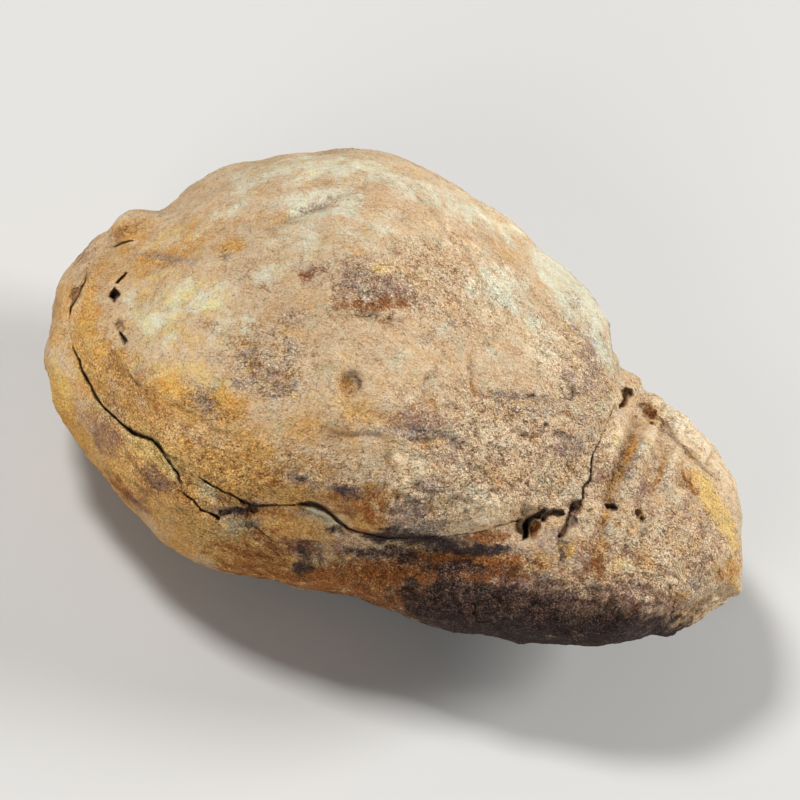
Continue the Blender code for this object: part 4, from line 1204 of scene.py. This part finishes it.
def grain_group():
    """Shader group: the stone's grains, drawn out along X: tone from 0 to 1, height in mm, a number per grain."""
    group, tree, given = new_group(
        "sandy_grain",
        "Shader",
        (("Vector", "Vector", None), ("Grain Size", "Float", 0.3), ("Coarseness", "Float", 0.5)),
        (("Tone", "Float"), ("Height", "Float"), ("Grain", "Float")),
    )
    coarse = given["Coarseness"]
    scale = tree.math("DIVIDE", 1 / MM, given["Grain Size"])
    vector = given["Vector"]

    def scaled(share):
        return tree.times(scale, share)

    drawn = tree.vector("MULTIPLY", vector, (0.75, 1.0, 1.0))
    swirl = tree.add("ShaderNodeTexNoise", {"Vector": drawn, "Scale": scaled(0.31), "Detail": 2.0}).outputs["Color"]
    bent = tree.vector("ADD", drawn, tree.vector("SCALE", swirl, scale=0.45 * MM))
    cells = tree.add("ShaderNodeTexVoronoi", {"Vector": bent, "Scale": scale}).outputs
    number = tree.add("ShaderNodeSeparateColor", {0: cells["Color"]}).outputs

    # Flakes of several grains lean each its own way, with gaps between some of them.
    flakes = tree.add("ShaderNodeTexVoronoi", {"Vector": bent, "Scale": scaled(0.28)}).outputs
    edges = tree.add("ShaderNodeTexVoronoi", {"Vector": bent, "Scale": scaled(0.28)}, feature="DISTANCE_TO_EDGE")
    local = tree.vector("SUBTRACT", bent, flakes["Position"])
    lean = tree.vector("SUBTRACT", flakes["Color"], (0.5, 0.5, 0.5))
    tilt = tree.vector("DOT_PRODUCT", local, lean)
    flake = tree.add("ShaderNodeSeparateColor", {0: flakes["Color"]}).outputs[2]
    gaps = tree.minus(1.0, tree.ramp(edges.outputs["Distance"], 0.0, 0.12))
    gaps = tree.times(gaps, tree.ramp(tree.noise(vector, scaled(0.23), 2.0), 0.5, 0.6))

    # Noise from the size of a grain up to several millimetres, with dark pores, painted glints and thin cracks.
    sand = tree.swing(vector, scale, 1.5, 0.6)
    grit = tree.swing(drawn, scaled(0.33), 3.0, 0.65)
    clods = tree.swing(drawn, scaled(0.11), 4.0, 0.62)
    broad = tree.swing(vector, scaled(0.023), 4.0, 0.6)
    pores = tree.ramp(tree.noise(vector, scaled(0.9), 1.0, 0.5), 0.60, 0.68)
    painted_glints = tree.ramp(tree.noise(bent, scaled(1.1), 1.0, 0.5), 0.60, 0.70)
    lines = tree.math("ABSOLUTE", tree.swing(bent, scaled(0.085), 3.0, 0.6))
    lines = tree.minus(1.0, tree.ramp(lines, 0.0, 0.03))
    lines = tree.times(lines, tree.ramp(tree.noise(vector, scaled(0.115), 2.0), 0.46, 0.58))

    # The tone follows the height: low ground, pores and gaps darker as painted shade, glints as painted highlight.
    tone = tree.plus(
        tree.times(sand, 1.5), (grit, 0.45), (clods, 0.35), (gaps, -0.36), (pores, -0.42), (painted_glints, 0.3),
        (tree.minus(flake, 0.5), 0.12), (tree.minus(number[0], 0.5), 0.22), (lines, -0.16),
    )
    tone = tree.plus(0.55, (tone, tree.plus(0.27, (coarse, 0.72))))
    tone = tree.plus(tone, (coarse, 0.11), (broad, 0.3))
    height = tree.plus(
        tree.times(sand, 0.26), (grit, 0.75), (clods, 1.0), (lines, -0.12), (cells["Distance"], -0.11),
        (gaps, -0.07), (pores, -0.05),
    )
    height = tree.times(height, tree.plus(0.45, (coarse, 1.0)))
    height = tree.plus(height, (tree.plus(130.0, (coarse, 1250.0)), tilt))
    tree.add("NodeGroupOutput", {"Tone": tone, "Height": height, "Grain": number[1]})
    return group


def ground_colour(tree, place, coarse, tone, grain, settings):
    """The bare stone: its tone's colour, broad flecks, and a tint of its own for each grain."""
    base = tree.colours(
        tone,
        (
            (0.18, settings.shadow_brown), (0.37, settings.tan), (0.51, settings.buff), (0.66, settings.cream),
            (0.86, settings.pale),
        ),
    )
    for scale, low, high, share, tint in GROUND_FLECKS:
        fleck = tree.times(tree.ramp(tree.noise(place, scale, 4.0, 0.65), low, high), share)
        base = tree.mix(fleck, base, colour(tint), "MULTIPLY")
    base = tree.mix(
        tree.plus(0.12, (coarse, 0.34)), base, tree.colours(grain, GRAIN_TINTS, "CONSTANT"), "MULTIPLY"
    )
    return tree.mix(tree.times(coarse, 0.6), base, colour(COARSE_TINT), "MULTIPLY")


def stained_colour(tree, base, place, masks, settings):
    """The base under each stain's film, which tints it, and under the stain's own grains."""
    stain = stain_group()
    for name, (bright, patch, grain, patchiness, graininess, film_share, grain_share) in STAIN_LAYERS.items():
        own = getattr(settings, name)
        shown = tree.group(
            stain, Vector=place, Strength=masks[name], Patch_Size=patch, Grain_Size=grain, Patchiness=patchiness,
            Graininess=graininess,
        )
        tint = colour(a / b for a, b in zip(own, settings.buff))
        base = tree.mix(tree.times(shown["Film"], film_share), base, tint, "MULTIPLY")
        spots = tree.times(shown["Grains"], grain_share)
        base = tree.mix(spots, base, colour(bright * value for value in own))
    return base


def stained_grains(tree, base, place, masks, tone):
    """The fine unevenness of stained ground: worn grains with painted highlight, pale specks with painted glints, dark
    pores and light and dark grains.
    """
    rusted = tree.most(masks["rust"], masks["mauve"])
    # Lighter grains on the dark film's crests: partly wear, partly painted highlight.
    worn = tree.times(masks["dark"], rusted, tree.ramp(tone, 0.56, 0.74))
    base = tree.mix(tree.times(worn, 0.8), base, colour(WORN_AND_HIGHLIT_GRAIN))
    stained = tree.most(masks["dark"], masks["ember"], rusted)
    # Pale specks in the dark film: partly pale grains, partly painted glints.
    specks = tree.times(masks["dark"], tree.ramp(tree.noise(place, 4600.0, 1.0), 0.56, 0.66))
    specks = tree.times(specks, tree.ramp(tree.noise(place, 520.0, 3.0), 0.44, 0.60))
    specks = tree.times(specks, tree.plus(0.35, (rusted, 0.65)))
    base = tree.mix(tree.times(specks, 0.8), base, colour(PALE_SPECK_AND_GLINT))
    pores = tree.times(stained, tree.ramp(tree.noise(place, 3900.0, 1.0), 0.42, 0.33))
    base = tree.mix(tree.times(pores, 0.5), base, colour(DARK_PORE))
    coloured = tree.most(stained, tree.times(masks["ochre"], 0.55), masks["slate"])
    uneven = tree.plus(1.0, (tree.swing(place, 4200.0, 2.0, 0.6), tree.times(coloured, 4.0)))
    return tree.mix(1.0, base, tree.most(uneven, 0.3), "MULTIPLY")


def new_material(name, roughness):
    """A material and its shader."""
    material = bpy.data.materials.new(name)
    material.use_nodes = True
    shader = material.node_tree.nodes["Principled BSDF"]
    shader.inputs["Roughness"].default_value = roughness
    return material, shader


def stone_material(settings):
    """Buff stone whose colour follows its grain, with film and grain stains, and painted shade in cracks and hollows.
    """
    material, shader = new_material("weathered_stone", 0.92)
    shader.inputs["Specular IOR Level"].default_value = 0.25
    tree = Tree(material.node_tree)
    place = tree.add("ShaderNodeTexCoord").outputs["Object"]
    masks = {
        name: tree.add("ShaderNodeAttribute", attribute_name=name).outputs["Fac"]
        for name in (*STAINS, "crack", "coarse", "fine_hollow", "fine_crest", "wide_hollow")
    }
    grain = tree.group(grain_group(), Vector=place, Grain_Size=0.2, Coarseness=masks["coarse"])
    # Painted shade in hollows and painted highlight on crests, by how far the points stand out.
    tone = tree.plus(
        grain["Tone"], (masks["fine_hollow"], -0.12), (masks["fine_crest"], 0.07), (masks["wide_hollow"], -0.08)
    )
    base = ground_colour(tree, place, masks["coarse"], tone, grain["Grain"], settings)
    base = stained_colour(tree, base, place, masks, settings)
    base = stained_grains(tree, base, place, masks, tone)
    # Painted shade in the cracks and holes.
    base = tree.mix(tree.times(masks["crack"], 0.88), base, colour(CRACK_SHADE))
    bump = tree.add("ShaderNodeBump", {"Height": grain["Height"], "Strength": 1.0, "Distance": MM})
    links = material.node_tree.links
    links.new(base, shader.inputs["Base Color"])
    links.new(bump.outputs["Normal"], shader.inputs["Normal"])
    return material


def make_camera():
    """A long lens from above the animal's side, rolled so that the thorax points down to the right."""
    right, up, back = view_axes()
    data = bpy.data.cameras.new("camera")
    camera = bpy.data.objects.new("camera", data)
    bpy.context.scene.collection.objects.link(camera)
    turn = Matrix((right, up, back)).transposed()
    camera.matrix_world = Matrix.Translation(LOOK_AT + back * VIEW_DISTANCE) @ turn.to_4x4()
    data.sensor_width = SENSOR_WIDTH
    data.lens = SENSOR_WIDTH * VIEW_DISTANCE * PIXELS_PER_MM / MM / FRAME_SIDE
    data.shift_x = (FRAME_SIDE / 2 - LOOK_AT_PIXEL[0]) / FRAME_SIDE
    data.shift_y = (LOOK_AT_PIXEL[1] - FRAME_SIDE / 2) / FRAME_SIDE
    data.dof.use_dof = False
    bpy.context.scene.camera = camera


def make_area_light(name, direction, size, power):
    """A square light that shines on the stone from this direction."""
    data = bpy.data.lights.new(name, "AREA")
    data.energy = power
    data.size = size
    light = bpy.data.objects.new(name, data)
    bpy.context.scene.collection.objects.link(light)
    light.location = LOOK_AT + direction.normalized() * LIGHT_DISTANCE
    light.rotation_mode = "QUATERNION"
    light.rotation_quaternion = direction.to_track_quat("Z", "Y")


class FOSSIL_OT_make_stone(bpy.types.Operator):
    """Makes the weathered trilobite stone in place of its plain solid"""

    bl_idname = "fossil.make_stone"
    bl_label = "Make Trilobite Stone"

    def execute(self, context):
        settings = context.scene.fossil_stone
        material = stone_material(settings)
        stone = copy_of_solid()
        shape_stone(stone, settings)
        run_nodes(stone, ring_furrow_nodes(), Depth=settings.furrow_depth, Material=material)
        weathering = {
            "Pit Spacing": settings.pit_spacing,
            "Pit Depth": settings.pit_depth,
            "Grain Size": settings.grain_size,
            "Grain Height": settings.grain_height,
            "Seed": settings.seed,
            "Material": material,
        }
        run_nodes(stone, weathering_nodes(), **weathering)
        faces = triangle_count(stone.data)
        apply_modifier(stone, "DECIMATE", ratio=min(1.0, settings.triangles / faces))
        # The stone rests flat where the solid does.
        points = positions(stone.data)
        points[:, 2] = np.maximum(points[:, 2], CAD_LOW.z / MM)
        set_positions(stone.data, points)
        paint_stains_and_shade(stone.data)
        stone.data.shade_smooth()
        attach(stone, BODY)
        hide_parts(NODE)
        print("stone triangles", triangle_count(stone.data), "from", faces)
        return {"FINISHED"}


class FOSSIL_OT_make_stage(bpy.types.Operator):
    """Makes the floor, the lights, the surroundings and the camera"""

    bl_idname = "fossil.make_stage"
    bl_label = "Make Stage"

    def execute(self, context):
        settings = context.scene.fossil_stage
        make_camera()
        bpy.ops.mesh.primitive_plane_add(size=settings.floor_size)
        floor = context.object
        floor.name = "floor"
        material, shader = new_material("pale_floor", 0.8)
        shader.inputs["Base Color"].default_value = colour(settings.floor_colour)
        floor.data.materials.append(material)
        right, up, back = view_axes()
        make_area_light("key", right * -0.24 + up * 0.75 + back * 0.60, settings.key_size, settings.key_power)
        make_area_light("side", right * 0.95 + up * 0.28 - back * 0.02, settings.side_size, settings.side_power)
        make_area_light("front", right * -0.3 - up * 0.2 + back * 0.93, settings.side_size, settings.front_power)
        world = bpy.data.worlds.new("surroundings")
        world.use_nodes = True
        surroundings = world.node_tree.nodes["Background"].inputs
        surroundings["Color"].default_value = (1.0, 1.0, 1.0, 1.0)
        surroundings["Strength"].default_value = settings.sky
        context.scene.world = world
        context.scene.view_settings.view_transform = "Standard"
        return {"FINISHED"}


class FOSSIL_PT_panel(bpy.types.Panel):
    """The stone's and the stage's settings, with the buttons that make them"""

    bl_idname = "FOSSIL_PT_panel"
    bl_label = "Fossil Trilobite"
    bl_space_type = "VIEW_3D"
    bl_region_type = "UI"
    bl_category = "Fossil"

    def draw(self, context):
        for settings, operator in (
            (context.scene.fossil_stone, FOSSIL_OT_make_stone),
            (context.scene.fossil_stage, FOSSIL_OT_make_stage),
        ):
            box = self.layout.box()
            for name in settings.__annotations__:
                box.prop(settings, name)
            box.operator(operator.bl_idname)


CLASSES = (FossilStoneSettings, FossilStageSettings, FOSSIL_OT_make_stone, FOSSIL_OT_make_stage, FOSSIL_PT_panel)


def register():
    for item in CLASSES:
        bpy.utils.register_class(item)
    bpy.types.Scene.fossil_stone = PointerProperty(type=FossilStoneSettings)
    bpy.types.Scene.fossil_stage = PointerProperty(type=FossilStageSettings)


def unregister():
    del bpy.types.Scene.fossil_stage
    del bpy.types.Scene.fossil_stone
    for item in reversed(CLASSES):
        bpy.utils.unregister_class(item)


def main():
    register()
    bpy.ops.fossil.make_stage()
    bpy.ops.fossil.make_stone()


if __name__ == "__main__":
    main()
